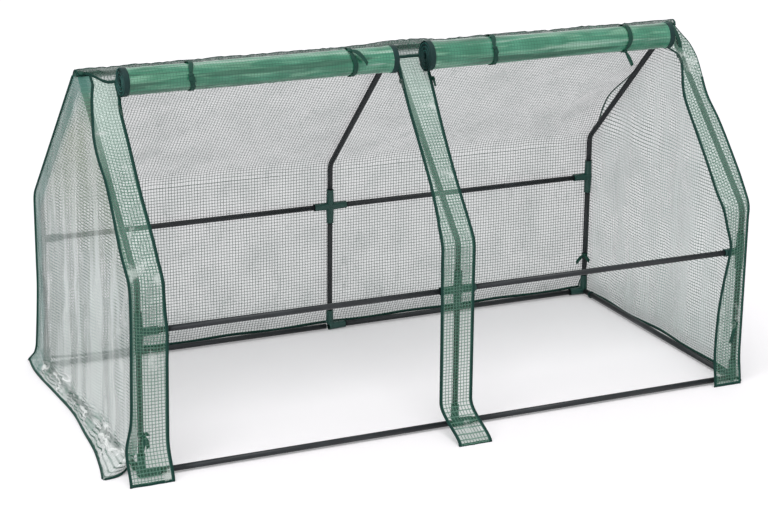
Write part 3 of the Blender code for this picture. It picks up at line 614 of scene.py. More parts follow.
def mapped_grid(columns, rows, place, flat):
    """An even grid. place and flat take shares across and along it, and give a point and flat metres."""
    shape = bmesh.new()
    bmesh.ops.create_grid(shape, x_segments=columns, y_segments=rows, size=0.5)
    sheet_map = shape.loops.layers.uv.new("flat")
    for face in shape.faces:
        for loop in face.loops:
            loop[sheet_map].uv = flat(loop.vert.co.x + 0.5, loop.vert.co.y + 0.5)
    for vertex in shape.verts:
        vertex.co = place(vertex.co.x + 0.5, vertex.co.y + 0.5)
    return shape


def film_panel(name, columns, rows, place, flat, finish, node, outward):
    """A panel of the cover over an even grid, with its outer side outward."""
    shape = mapped_grid(columns, rows, place, flat)
    shape.normal_update()
    if sum((face.normal.dot(outward) for face in shape.faces), 0.0) < 0:
        bmesh.ops.reverse_faces(shape, faces=shape.faces)
    return finished(name, shape, "frame_and_cover", finish, [node])


REAR_LONG = DOWN_THE_SIDE + 2 * RIDGE_ARC + HEADER
REAR_FLARE = 0.046
REAR_LEFT_FLARE = 0.086
REAR_LEFT_OUT = 0.0142
REAR_LEFT_SPREAD = 0.28
REAR_LEFT_RISE = 0.27
REAR_LIFT = 0.034
SAG = 0.006
REAR_CREASE = 0.0016
HUMP = 0.0065
HUMP_PLACE = 0.03
HUMP_WIDTH = 0.09
RIDGE_LOOSE = 0.034


def header_length(x):
    """How far the header reaches past the ridge; near the ends it is cut back to the ridge."""
    return 0.008 + (HEADER - 0.008) * smooth((HALF - 0.010 - abs(x)) / 0.055)


def rear_lift(down):
    """How far the seam of the roof and the right end stands off the rear slope; it isn't tied there."""
    return REAR_LIFT * math.sin(math.pi * min(down / SLOPE, 1.0) ** 2.4) ** 2


def corner_share(z):
    """skirt_share for the rear left corner, which leans out from high up and is bent out at its hem."""
    return 0.36 * max(1 - z / 0.036, 0.0) + 0.64 * max(1 - z / REAR_LEFT_RISE, 0.0) ** 1.3


def rear_skirt(x, z):
    """How far the rear skirt stands off the wall at a height: most at its left corner."""
    spread = 1 - smooth((x + COVER_END_X) / REAR_LEFT_SPREAD)
    across = (x + COVER_END_X) / (2 * COVER_END_X)
    ripple = 0.9 + 0.1 * math.cos(12 * math.pi * across) + 0.04 * noise.noise(Vector((x * 14, 0, 3)))
    share = skirt_share(z) + (corner_share(z) - skirt_share(z)) * spread
    return share * (REAR_FLARE + (REAR_LEFT_FLARE - REAR_FLARE) * spread) * ripple


def ridge_slack(x, past):
    """How far the loose film stands up past metres from the ridge, most over the middle connector."""
    hump = 0.0035 + HUMP * math.exp(-(((x - HUMP_PLACE) / HUMP_WIDTH) ** 2))
    hump += 0.003 * noise.noise(Vector((x * 9, 4, 0)))
    rough = 0.0015 * wrinkle(x, past, 0.03, 4.0)
    return max(hump + rough, 0.0) * (1 - smooth(abs(past) / RIDGE_LOOSE))


def rear_and_roof(across, along):
    """The place function of the rear wall and roof, from the rear hem up and over to the header."""
    x = -COVER_END_X + 2 * COVER_END_X * across
    travel = along * REAR_LONG
    down = DOWN_THE_SIDE - travel
    if down < 0:
        turn = min(-down / FILM_OFF, 2 * RIDGE_ARC / FILM_OFF)
        angle = BEND_TURN + turn
        past = max(-down - 2 * RIDGE_ARC, 0.0) * header_length(x) / HEADER
        off = FILM_OFF + ridge_slack(x, down + RIDGE_ARC)
        y = off * math.cos(angle) - past * math.cos(ROOF_PITCH)
        return Vector((x, y, RIDGE_Z + off * math.sin(angle) - past * math.sin(ROOF_PITCH)))
    reach, z = down_side(down)
    bays = abs(math.sin(2 * math.pi * across))
    sag = SAG * bays * math.sin(math.pi * min(travel / DOWN_THE_SIDE, 1.0))
    slack = smooth(travel / 0.1) * smooth(down / 0.05) * smooth(bays * 4)
    crease = REAR_CREASE * wrinkle(x + 0.5 * travel, travel - 0.4 * x, 0.16, 2.0) * slack
    lift = rear_lift(down) * smooth((x - HALF + 0.16) / 0.16)
    off_slope = Vector((0, math.sin(ROOF_PITCH), math.cos(ROOF_PITCH)))
    out = to_back if down > SLOPE + BEND_ARC else off_slope
    off = out * (sag + crease + lift + ridge_slack(x, down + RIDGE_ARC))
    outward = REAR_LEFT_OUT * skirt_share(z, 0.075) * (1 - smooth((x + COVER_END_X) / REAR_LEFT_SPREAD))
    return Vector((x - outward, reach + rear_skirt(x, z), z)) + off


rear_panel = film_panel(
    "cover_rear_and_roof_film", 200, 150, rear_and_roof,
    lambda across, along: (2 * COVER_END_X * across, REAR_LONG * along),
    wall_film, "cover_rear_and_roof", Vector((0, 1, 0.5)),
)


# Gable ends: one piece of the same film each, sewn to the roof along its sloping edges. They hang loose in
# soft folds that spread towards the ground, where the skirt is crushed over the rail and lies outwards.

INNER_OFF = FILM_OFF - 0.0007
END_TOP = 0.012
WRAP = 0.06
FOLD_DEPTH = 0.012
BILLOW = 0.006
CREASE_DEPTH = 0.003
# How far the front seams lie from the end tubes, by the distance down from the ridge.
LEFT_SEAM = (
    (0.04, 0.020), (0.075, 0.009), (0.135, -0.004), (0.20, -0.016), (0.26, -0.019), (0.33, -0.016),
    (0.41, -0.019), (0.55, -0.027), (0.70, -0.025), (0.90, -0.028), (1.00, -0.032), (1.07, -0.046),
    (1.16, -0.048),
)
RIGHT_SEAM = (
    (0.0, 0.006), (0.04, 0.022), (0.075, 0.036), (0.13, 0.041), (0.25, 0.026), (0.34, 0.031), (0.50, 0.028),
    (0.58, 0.022), (0.65, 0.0138),
)
# Where each end's hem lies on the ground, by the share of the way from its front corner to its rear one. The
# left end's front corner sticks out, because the slit beside the strip leaves it free.
LEFT_HEM = (
    (0.0, -0.921, -0.372), (0.03, -0.948, -0.402), (0.055, -0.976, -0.413), (0.07, -0.997, -0.412),
    (0.085, -0.993, -0.390), (0.12, -0.982, -0.342), (0.25, -0.960, -0.217), (0.39, -0.948, -0.088),
    (0.55, -0.934, 0.061), (0.73, -0.936, 0.234), (0.87, -0.940, 0.366), (0.95, -0.938, 0.450),
    (1.0, -0.928, 0.530),
)
RIGHT_HEM = (
    (0.0, 0.924, -0.448), (0.17, 0.936, -0.290), (0.33, 0.932, -0.140), (0.50, 0.940, 0.020),
    (0.67, 0.924, 0.180), (0.83, 0.930, 0.340), (1.0, 0.914, 0.494),
)

# The ends are seen nearly edge on, where threads this fine merge. Their level threads are drawn wider than
# the real 1.5 mm, and their upright ones thinner, so that the grid still shows.
# Both ends have a painted sheen in upright bands, as on film that hangs in folds and shines.
right_end_film = film_finish(
    "grid film of the right end", "#B2C6C0", "#245444", 0.40, 0.94, 0.10, fold_sheen=0.14, widths=(0.0012, 0.0020)
)[0]
# The left end also has painted highlights in white patches, and painted shade and painted glints where its
# skirt is crumpled.
left_end_film, tree, shader = film_finish(
    "creased grid film of the left end", "#DCE7E3", "#0F4234", 0.36, 0.97, 0.10, fold_sheen=0.40, gleams=0.2,
    crushed=(0.006, 0.09, 0.80), widths=(0.0008, 0.0029),
)
# Towards the ridge the left end's film is darker and greener in patches, and right under the ridge its seams
# show through green.
# Beside the rear slope and wall it laps the rear film, and the two together hide more, in a blue green.
end_parts = add_node(tree, "ShaderNodeSeparateXYZ", {"Vector": object_place(tree)}).outputs
darker_high_up = ranged(tree, end_parts["Z"], 0.48, 0.74, 0.0, 1.5)
darker_high_up = arithmetic(tree, "MULTIPLY", darker_high_up, cloudy(tree, 8.0, 3.0))
end_tint = mixed(tree, darker_high_up, shader.inputs["Base Color"].links[0].from_socket, colour("#72856C"))
under_ridge = ranged(tree, end_parts["Z"], 0.84, 0.94, 0.0, 0.9)
end_tint = mixed(tree, under_ridge, end_tint, colour("#3F7A66"))
below_ridge = arithmetic(tree, "SUBTRACT", end_parts["Z"], RIDGE_Z)
off_slope = arithmetic(tree, "MULTIPLY", below_ridge, math.cos(ROOF_PITCH))
off_slope = arithmetic(tree, "MULTIPLY_ADD", end_parts["Y"], math.sin(ROOF_PITCH), off_slope)
to_rear = arithmetic(tree, "MAXIMUM", off_slope, arithmetic(tree, "SUBTRACT", end_parts["Y"], SIDE))
rear_lap = ranged(tree, to_rear, -0.075, -0.040, 0.0, 0.80)
end_tint = mixed(tree, rear_lap, end_tint, colour("#44776E"))
tree.links.new(end_tint, shader.inputs["Base Color"])
end_cover = arithmetic(tree, "MAXIMUM", shader.inputs["Alpha"].links[0].from_socket, under_ridge)
tree.links.new(arithmetic(tree, "MAXIMUM", end_cover, rear_lap), shader.inputs["Alpha"])


def end_panel(side, hem, seam, lifted):
    """The place function of one gable end; side is -1 for the left and 1 for the right."""
    hem_x = [(share, x) for share, x, y in hem]
    hem_y = [(share, y) for share, x, y in hem]

    def place(across, along):
        down = END_TOP + (DOWN_THE_SIDE - END_TOP) * (1 - along)
        reach, z = down_side(down, INNER_OFF)
        back, back_z = down_side(down, INNER_OFF + lifted * rear_lift(down))
        inward = max(across - WRAP, 0.0) / (1 - WRAP)
        y = -reach + (back + reach) * inward
        edges = smooth(inward / 0.06) * smooth((1 - inward) / 0.06)
        fold = 0.5 - 0.5 * math.cos(6 * math.pi * inward)
        spread = (1 - 0.75 * smooth(z / RIDGE_Z)) * smooth((RIDGE_Z - z) / 0.15) * smooth(z / 0.08)
        out = FOLD_DEPTH * fold * spread
        out += BILLOW * noise.noise(Vector((y * 17, z * 1.4, 7 * side))) * edges * spread
        out += CREASE_DEPTH * wrinkle(y, z, 0.10, 5.0 + side, 2.5) * edges * spread
        crush = smooth((0.10 - z) / 0.04) * smooth((z - 0.004) / 0.02) * smooth((inward - 0.06) / 0.2) * edges
        out += (0.0025 - 0.0020 * side) * wrinkle(y + 0.3 * z, z, 0.045, 9.0 + side, 0.8) * crush
        seam_x = side * HALF + curve_through(seam, down)
        if side > 0:
            out += max(side * seam_x - COVER_END_X, 0.0) * smooth((0.5 - across) / 0.4)
        x = side * (HALF + FILM_OFF + out)
        turned_out = skirt_share(z, 0.075)
        corner = smooth((inward - 0.6) / 0.4) if side < 0 else 0.0
        flared = skirt_share(z) + (corner_share(z) - skirt_share(z)) * corner
        sewn = smooth(1 - across / WRAP) * (1 - smooth(2 * flared))
        x += (curve_through(hem_x, inward) - side * COVER_END_X) * turned_out
        y += (curve_through(hem_y, inward) - y) * flared
        return Vector((x + (seam_x - x) * sewn, y, max(z + (back_z - z) * inward, 0.0)))

    return place


def end_flat(across, along):
    """The flat map of an end: as the gable is drawn, in metres."""
    reach, z = down_side(END_TOP + (DOWN_THE_SIDE - END_TOP) * (1 - along), INNER_OFF)
    return -reach + 2 * reach * across, z


left_end = end_panel(-1, LEFT_HEM, LEFT_SEAM, 0.0)
right_end = end_panel(1, RIGHT_HEM, RIGHT_SEAM, 1.0)
ends = (("left", left_end, -1, left_end_film), ("right", right_end, 1, right_end_film))
for name, place, side, finish in ends:
    panel = film_panel(
        f"cover_{name}_end_film", 150, 180, place, end_flat, finish, f"cover_{name}_end", to_right * side
    )


# Front strips: three bands of film that stay when the doors are rolled up, from the header down to a loose
# tail. The left and right ones are sewn to the gable ends, and the middle one covers the middle tubes.

FRONT_LONG = DOWN_THE_SIDE - HEADER
STRIP_SLACK = 0.0014
# How far each door edge lies from the nearest tube, by the distance down from the ridge.
LEFT_EDGE = (
    (0.04, 0.088), (0.085, 0.086), (0.108, 0.082), (0.130, 0.079), (0.215, 0.077), (0.37, 0.072),
    (0.50, 0.071), (0.60, 0.068), (0.70, 0.071), (0.77, 0.076), (0.85, 0.074), (1.16, 0.071),
)
MIDDLE_LEFT = (
    (0.04, -0.006), (0.185, -0.019), (0.32, -0.026), (0.44, -0.033), (0.53, -0.043), (0.62, -0.056),
    (0.80, -0.055), (1.16, -0.053),
)
MIDDLE_RIGHT = (
    (0.04, 0.088), (0.185, 0.073), (0.32, 0.061), (0.44, 0.053), (0.54, 0.049), (0.64, 0.045), (1.16, 0.045),
)
RIGHT_EDGE = (
    (0.04, -0.075), (0.065, -0.062), (0.085, -0.044), (0.107, -0.023), (0.142, -0.022), (0.176, -0.033),
    (0.216, -0.047), (0.26, -0.057), (0.35, -0.062), (0.47, -0.068), (0.57, -0.075), (0.62, -0.073),
    (0.67, -0.061), (0.735, -0.043), (0.775, -0.047), (0.84, -0.059), (0.92, -0.070), (1.02, -0.075),
    (1.16, -0.075),
)
OFF_SLOPE = Vector((0, -math.sin(ROOF_PITCH), math.cos(ROOF_PITCH)))
DOWN_SLOPE = Vector((0, -math.cos(ROOF_PITCH), -math.sin(ROOF_PITCH)))

# On the front strips the grid shows pale over the tubes and dark over the floor, so its threads are drawn
# wider, 2.1 mm, in a mid green, over a film that is dark below the bend. Above the bend it is painted pale,
# for the light that the slope catches; higher up it has a painted sheen, and it has painted highlights in
# white patches.
strip_films = {}
for name, shine in (("left", 0.32), ("middle", 0.24), ("right", 0.04)):
    strip_films[name] = film_finish(
        f"grid film of the {name} front strip", "#2F7552", "#52796A", 0.22, 0.88, 0.05, gleams=0.5,
        widths=(0.0021, 0.0021), above=(0.46, 0.58, "#B4E0CC", 0.20, "#2F6551"), sheen=(0.74, 0.90, shine),
    )[0]


def front_strip(left, right, flare, skirt, seed):
    """The place function of a strip; left and right each hold a tube's place and the edge's spots from it."""
    top_left, top_right = (tube + spots[0][1] for tube, spots in (left, right))

    def place(across, along):
        top = header_length(top_left + (top_right - top_left) * across)
        down = top + (DOWN_THE_SIDE - top) * (1 - along)
        reach, z = down_side(down)
        start, end = (tube + curve_through(spots, down) for tube, spots in (left, right))
        x = start + (end - start) * across
        middle = math.sin(math.pi * across)
        slack = STRIP_SLACK * middle * wrinkle(x, down, 0.06, seed, 1.6) * smooth((down - HEADER) / 0.05)
        out = -to_back if down > SLOPE + BEND_ARC / 2 else OFF_SLOPE
        tail = skirt_share(z, skirt) * flare
        return Vector((x, -reach - tail, max(z, 0.0))) + out * max(slack, -0.0004)

    return place


strips = {
    "left": ((-HALF, LEFT_SEAM), (-HALF, LEFT_EDGE), 0.042, SKIRT, 20, 1.0, "side_tee_front_left"),
    "middle": ((0.0, MIDDLE_LEFT), (0.0, MIDDLE_RIGHT), 0.124, SKIRT * 0.75, 24, 2.0, "side_cross_front"),
    "right": ((HALF, RIGHT_EDGE), (HALF, RIGHT_SEAM), 0.012, SKIRT, 20, 3.0, "side_tee_front_right"),
}
strip_places = {}
for name, (left, right, flare, skirt, columns, seed, connector) in strips.items():
    strip_places[name] = front_strip(left, right, flare, skirt, seed)

    def strip_flat(across, along):
        spot = strip_places[name](across, along)
        return spot.x, HEADER + FRONT_LONG * (1 - along)

    panel = film_panel(
        f"cover_front_{name}_strip_film", columns, 220, strip_places[name], strip_flat, strip_films[name],
        f"cover_front_{name}_strip", Vector((0, -1, 0.5)),
    )
    wide = strip_places[name](1.0, 0.5).x - strip_places[name](0.0, 0.5).x


# Bindings: dark green woven polyester tape, folded over each raw edge and sewn through. Where two panels meet
# the tape closes the seam, and along the door openings a wider one carries the zip.

TAPE_SIDES = 12
STITCH_PITCH = 0.003
# How far apart a tape's points lie, as a share of its panel.
TAPE_STEP = 0.006
# How wide and how thick each tape lies.
SEAM_TAPE = (0.0082, 0.0042)
ZIP_TAPE = (0.0095, 0.0020)
FOLDED_TAPE = (0.0028, 0.0020)
STRIP_HEM_TAPE = (0.010, 0.0026)
SLIT_TAPE = (0.005, 0.0020)
REAR_SEAM_TAPE = (0.0065, 0.0030)
END_HEM_TAPE = (0.009, 0.0055)
RIDGE_EDGE_TAPE = (0.006, 0.0030)
REAR_HEM_TAPE = (0.010, 0.0040)
HEADER_TAPE = (0.010, 0.0024)
RIDGE_SEAM_TAPE = (0.004, 0.0022)

# Woven tape: matt, ribbed across every 0.8 mm by its weft, with a paler rubbed edge and a row of paler
# stitches 2.5 mm from it.
woven_tape, tree, shader = new_finish("woven polyester binding tape", Roughness=0.7, Specular_IOR_Level=0.25)
tape_spot = add_node(tree, "ShaderNodeUVMap", uv_map="flat").outputs["UV"]
ribs = add_node(tree, "ShaderNodeTexWave", {"Vector": tape_spot, "Scale": 390.0}, bands_direction="Y")
tape_tint = mixed(tree, cloudy(tree, 25.0, 5.0), colour("#042F29"), colour("#0C4239"))
tape_tint = mixed(tree, ranged(tree, ribs.outputs["Fac"], 0, 1, 0, 0.4), tape_tint, colour("#05261F"))
tape_parts = add_node(tree, "ShaderNodeSeparateXYZ", {"Vector": tape_spot})
rubbed_edge = ranged(tree, tape_parts.outputs["X"], 0.0006, 0.0016, 0.5, 0)
tape_tint = mixed(tree, rubbed_edge, tape_tint, colour("#2C6E60"))
in_row = arithmetic(tree, "COMPARE", tape_parts.outputs["X"], 0.0025, 0.0004)
on_thread = arithmetic(tree, "PINGPONG", tape_parts.outputs["Y"], STITCH_PITCH / 2)
stitches = arithmetic(tree, "MULTIPLY", in_row, arithmetic(tree, "LESS_THAN", on_thread, STITCH_PITCH / 3))
tree.links.new(mixed(tree, stitches, tape_tint, colour("#3C7363")), shader.inputs["Base Color"])
bumped(tree, shader, arithmetic(tree, "ADD", ribs.outputs["Fac"], stitches), 0.0002)


def tape(name, points, inward, width, thickness, body="frame_and_cover"):
    """A flat tube of tape along points. inward gives, at each point, the way from the edge into the film."""
    rows = len(points) - 1
    travel = [0.0]
    for first, second in zip(points, points[1:]):
        travel.append(travel[-1] + (second - first).length)

    def place(around, along):
        row = round(along * rows)
        angle = 2 * math.pi * around
        run = points[min(row + 1, rows)] - points[max(row - 1, 0)]
        into = inward[row].normalized()
        off = run.cross(into).normalized()
        lift = off * math.sin(angle) * thickness / 2
        return points[row] + into * (width / 2 - thickness / 2 + math.cos(angle) * width / 2) + lift

    def flat(around, along):
        return width * (1 - abs(2 * around - 1)), travel[round(along * rows)]

    shape = mapped_grid(TAPE_SIDES, rows, place, flat)
    bmesh.ops.remove_doubles(shape, verts=shape.verts, dist=0.00005)
    bmesh.ops.holes_fill(shape, edges=[edge for edge in shape.edges if edge.is_boundary])
    bmesh.ops.recalc_face_normals(shape, faces=shape.faces)
    return finished(name, shape, body, woven_tape)


def along_panel(place, across, first, last, step, toward):
    """Points on a panel's edge or a line along it, and the ways from there towards another share across.

    first, last and step are shares of its length.
    """
    count = max(int(abs(last - first) / step), 2)
    shares = [first + (last - first) * number / count for number in range(count + 1)]
    points = [place(across, share) for share in shares]
    ways = [place(toward, share) - point for share, point in zip(shares, points)]
    return points, ways


def across_panel(place, along, first, last, step, toward):
    """The same for a panel's top or bottom edge."""
    return along_panel(lambda up, out: place(out, up), along, first, last, step, toward)


# Each strip's long edges: the tape, the edge's share across, and the share it is folded towards.
strip_edges = {
    "left": (("seam", 0.0, 0.1), ("zip_tape", 1.0, 0.9)),
    "middle": (("left_zip_tape", 0.0, 0.1), ("right_zip_tape", 1.0, 0.9)),
    "right": (("zip_tape", 0.0, 0.1), ("seam", 1.0, 0.9)),
}
for name, place in strip_places.items():
    for edge_name, edge, toward in strip_edges[name]:
        # Near the ridge the right seam is turned inside, and only the tape's fold shows.
        turned_in = 0.84 if (name, edge_name) == ("right", "seam") else 1.0
        points, ways = along_panel(place, edge, 0.0, turned_in, TAPE_STEP, toward)
        tape(f"{name}_strip_{edge_name}", points, ways, *(SEAM_TAPE if edge_name == "seam" else ZIP_TAPE))
        if turned_in < 1:
            points, ways = along_panel(place, edge, turned_in, 1.0, TAPE_STEP, toward)
            tape(f"{name}_strip_{edge_name}_fold", points, ways, *FOLDED_TAPE)
    points, ways = across_panel(place, 0.0, 0.0, 1.0, 0.05, 0.02)
    tape(f"{name}_strip_hem", points, ways, *STRIP_HEM_TAPE)
for name, place, side, finish in ends:
    points, ways = along_panel(place, 0.0, 0.0, 0.12, TAPE_STEP, 0.05)
    tape(f"{name}_end_slit_edge", points, ways, *SLIT_TAPE)
    points = along_panel(place, 1.0, 0.0, 0.995, TAPE_STEP, 0.95)[0]
    tape(f"{name}_end_rear_seam", points, [to_right * side] * len(points), *REAR_SEAM_TAPE)
    points, ways = across_panel(place, 0.0, 0.0, 1.0, 0.012, 0.02)
    tape(f"{name}_end_hem", [point + upward * 0.0026 for point in points], ways, *END_HEM_TAPE)
for name, edge in (("left", 0.0), ("right", 1.0)):
    points, ways = along_panel(rear_and_roof, edge, (DOWN_THE_SIDE - 0.03) / REAR_LONG, 1.0, 0.004, 0.5)
    tape(f"{name}_ridge_edge", points, ways, *RIDGE_EDGE_TAPE)
points, ways = across_panel(rear_and_roof, 0.0, 0.0, 1.0, TAPE_STEP, 0.02)
tape("rear_hem", [point + upward * 0.0020 for point in points], ways, *REAR_HEM_TAPE)
points, ways = across_panel(rear_and_roof, 1.0, 0.0, 1.0, TAPE_STEP, 0.98)
tape("header_seam", points, ways, *HEADER_TAPE)
ridge_share = (DOWN_THE_SIDE + RIDGE_ARC) / REAR_LONG
points = across_panel(rear_and_roof, ridge_share, 0.0, 1.0, TAPE_STEP, ridge_share)[0]
tape("ridge_seam", points, [to_back] * len(points), *RIDGE_SEAM_TAPE)


# Rolled doors: each door is one length of the same film with zip tape down both sides. It is sewn to the
# header, hangs behind its roll for a hand's width and is wound seven turns into a loose roll.

DOOR_WIDTH = HALF - 0.116
ROLL_RADIUS = 0.038
ROLL_CORE = 0.007
ROLL_TURNS = 7
ROLL_DOWN = 0.066
ROLL_OFF = 0.0127 + 0.0008 + 0.007 + ROLL_RADIUS
ROLL_POINTS = 36
ROLL_SHEET = 0.0008
SHEET_HALF = 0.0005
SEAM_LAP = 0.008
EDGE_TAPE = 0.015
EDGE_TAPE_THICKNESS = 0.0012
WOUND_TAPE_THICKNESS = 0.0018
door_centres = {"left": -HALF / 2 + 0.022, "right": HALF / 2 + 0.001}
# How far the roll comes down the slope as its door is let out. The flap's grid is drawn packed together by
# that length; its threads would lie 9 mm apart only with the door down and the flap stretched, which nothing
# here does.
UNROLLED = 0.36
# How much narrower each door is at its top, on its left, than at the hem that the roll is wound from.
door_trims = {"left": 0.005, "right": 0.033}
# How much thicker each roll is at its left end than at its right end.
roll_tapers = {"left": 0.0, "right": 0.10}

# Seven layers of film and thread hide what is behind, so the roll reads as solid green under a clear gloss,
# with the grids of the upper layers crossing. Where the film is creased its light is painted: pale streaks
# and pale fold lines are painted highlights, and dark fold lines are painted shade.
rolled_film, tree, shader = new_finish("rolled grid film", IOR=1.5, Roughness=0.24, Coat_Weight=0.25)
roll_spot = add_node(tree, "ShaderNodeUVMap", uv_map="flat").outputs["UV"]
slipped = add_node(tree, "ShaderNodeMapping", {"Vector": roll_spot, "Location": (0.0037, 0.0052, 0)})
lit_streak = cloudy(tree, 70.0, 6.0, (0.10, 1, 1), 0.5)
lit_and_shaded_fold = cloudy(tree, 38.0, 4.0, (0.05, 1, 1), 0.3)
lower_grid, upper_grid = thread_grid(tree, slipped.outputs["Vector"]), thread_grid(tree, roll_spot)
patches = ranged(tree, cloudy(tree, 11.0, 3.0), 0.35, 0.65, 0, 1)
roll_tint = mixed(tree, patches, colour("#2C7A5C"), colour("#4A987A"))
# Painted highlights in pale streaks along the roll, then painted shade and painted highlights along its fold
# lines.
roll_tint = mixed(tree, ranged(tree, lit_streak, 0.50, 0.66, 0, 0.7), roll_tint, colour("#84BC9E"))
roll_tint = mixed(tree, ranged(tree, lit_and_shaded_fold, 0.40, 0.46, 0.8, 0), roll_tint, colour("#14553F"))
roll_tint = mixed(tree, ranged(tree, lit_and_shaded_fold, 0.57, 0.64, 0, 0.75), roll_tint, colour("#BCDCCB"))
roll_tint = mixed(tree, ranged(tree, lower_grid, 0, 1, 0, 0.3), roll_tint, colour("#1F5F48"))
roll_tint = mixed(tree, ranged(tree, upper_grid, 0, 1, 0, 0.6), roll_tint, colour("#174F3C"))
tree.links.new(roll_tint, shader.inputs["Base Color"])
bumped(tree, shader, arithmetic(tree, "ADD", lit_streak, lit_and_shaded_fold), 0.0014)


def roll_place(x, down, off):
    """A point by its distances down the slope from the ridge and off the tube line."""
    return Vector((x, 0, RIDGE_Z)) + down * DOWN_SLOPE + off * OFF_SLOPE


def round_roll(x, radius, angle):
    """A point round a roll's axis, at an angle from down the slope."""
    return roll_place(x, ROLL_DOWN + radius * math.cos(angle), ROLL_OFF + radius * math.sin(angle))


# The doors' edge tape as it is wound into the rolls' ends: the same weave, darker because its layers shade
# each other, with paler edges. Its layers are 4.4 mm apart, too fine to show, so rings are drawn 10 mm apart.
wound_tape, tree, shader = new_finish("wound edge tape", Roughness=0.6, Specular_IOR_Level=0.3)
wound_tint = mixed(tree, cloudy(tree, 90.0, 4.0), colour("#04211F"), colour("#0B3836"))
spots = {0: object_place(tree, (0, 1, 1)), 1: roll_place(0, ROLL_DOWN, ROLL_OFF)}
from_axis = add_node(tree, "ShaderNodeVectorMath", spots, operation="DISTANCE").outputs["Value"]
ring = ranged(tree, arithmetic(tree, "PINGPONG", from_axis, 0.005), 0.0030, 0.0042, 0, 0.8)
tree.links.new(mixed(tree, ring, wound_tint, colour("#2F6F68")), shader.inputs["Base Color"])


def roll_radius(name, share, angle, start):
    """The radius of a roll's layer that starts at a radius, lumpy and thicker towards a free end."""
    near_end = min(share, 1 - share) * DOOR_WIDTH
    flare = 1 + 0.05 * (1 - smooth((near_end - 0.010) / 0.020))
    flare += roll_tapers[name] * (1 - smooth(share / 0.6))
    across, up = math.cos(angle), math.sin(angle)
    lump = noise.noise(Vector((share * 6 + len(name), across * 1.1, up * 1.1)))
    ridge = wrinkle(share * DOOR_WIDTH, math.atan2(up, across) * 0.035, 0.035, len(name), 0.5)
    return start * flare * (1 + 0.035 * lump + 0.012 * ridge)


def wound_sheet(name, columns, low, high, edge):
    """The wound part of a door between two shares of its width, mapped from an edge, and how long it is."""
    rows = ROLL_TURNS * ROLL_POINTS
    outer = ROLL_RADIUS - SHEET_HALF
    pitch = (outer - ROLL_CORE) / ROLL_TURNS
    lengths = [
        2 * math.pi * (outer * turns - pitch * turns * turns / 2)
        for turns in (row / ROLL_POINTS for row in range(rows + 1))
    ]

    def place(across, along):
        share = low + (high - low) * across
        turns = along * ROLL_TURNS
        angle = -math.pi / 2 + 2 * math.pi * turns
        radius = roll_radius(name, share, angle, outer - pitch * turns)
        return round_roll(door_centres[name] + (share - 0.5) * DOOR_WIDTH, radius, angle)

    def flat(across, along):
        share = low + (high - low) * across
        return abs(share - edge) * DOOR_WIDTH, lengths[round(along * rows)]

    return mapped_grid(columns, rows, place, flat), lengths[-1]


def door_flap(name, centre):
    """The unrolled part of a door, from its seam on the header to the roll's back, and its edges' tapes."""
    seam_off = FILM_OFF + 0.0012
    back_off = ROLL_OFF - ROLL_RADIUS + SHEET_HALF
    first_down = HEADER - SEAM_LAP
    reach = ROLL_DOWN - first_down
    leaves_roof = HEADER + 0.005
    bend_start, bend_end = first_down + 0.2 * reach, ROLL_DOWN - 0.05 * reach

    def place(across, along):
        down = first_down + reach * along
        off = seam_off + (back_off - seam_off) * smooth((down - leaves_roof) / (ROLL_DOWN - leaves_roof))
        trim = door_trims[name] * min((1 - along) * 6, 1.0) * (1 - across)
        return roll_place(centre + (across - 0.5) * DOOR_WIDTH + trim, down, off)

    def flat(across, along):
        down = first_down + reach * along
        let_out = UNROLLED * smooth((down - bend_start) / (bend_end - bend_start))
        return (across - 0.5) * DOOR_WIDTH, down - ROLL_DOWN + let_out

    def follows_roll(piece):
        start, end = (roll_place(centre, down, seam_off) for down in (bend_start, bend_end))
        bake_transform(piece)
        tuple(start)
        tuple(end)

    shape = mapped_grid(60, 60, place, flat)
    piece = finished(f"{name}_door_flap_film", shape, None, wall_film)
    follows_roll(piece)
    for edge_name, across, toward in (("left", 0.0, 0.1), ("right", 1.0, 0.9)):
        points, ways = along_panel(place, across, 0.0, 1.0, 0.02, toward)
        edge_name = f"{name}_door_flap_{edge_name}_edge"
        follows_roll(tape(edge_name, points, ways, EDGE_TAPE, EDGE_TAPE_THICKNESS, None))


for name, centre in door_centres.items():
    shape, wound_length = wound_sheet(name, 96, 0.0, 1.0, 0.0)
    door, node_name = f"{name}_door", f"{name}_door_roll"
    roll = finished(f"{node_name}_film", shape, door, rolled_film, [node_name])
    thickened(roll, ROLL_SHEET)
    door_flap(name, centre)
    edge_share = EDGE_TAPE / DOOR_WIDTH
    roll_ends = (("left", -0.001, edge_share, 0.0), ("right", 1 - edge_share, 1.001, 1.0))
    for end_name, low, high, edge in roll_ends:
        shape = wound_sheet(name, 6, low, high, edge)[0]
        band = finished(f"{door}_{end_name}_edge_tape", shape, door, wound_tape)
        thickened(band, WOUND_TAPE_THICKNESS)


# Ribbons: each roll is held up by two, sewn in at its seam and tied round it, and the cover is tied to three
# posts by shorter ones. A ribbon is 13 mm wide and gathers to half of that at its knot.

RIBBON = 0.013
RIBBON_THICKNESS = 0.0007
KNOT = 0.0062
TIE_STEPS = 60
POST_STEPS = 32
TAIL_STEPS = 8
TIE_WRAP = math.radians(280)
TOWARD_VIEW = (-0.3, -1.0, 0.3)
TIE_SLANT = 0.009
# Each tie's place as a share of the door's width from its middle, its knot's angle round the roll in degrees,
# and its tails: the way and the length of each.
door_ties = {
    ("left", "left"): (-0.268, 62, [((0.5, -0.35, -1.0), 0.016), ((-0.25, -0.5, -1.0), 0.012)]),
    ("left", "right"): (0.322, 108, [((0.75, -0.75, -0.20), 0.052)]),
    ("right", "left"): (-0.250, 66, [((0.5, -0.35, -1.0), 0.014)]),
    ("right", "right"): (0.300, -8, [((0.75, -0.45, -1.0), 0.034)]),
}


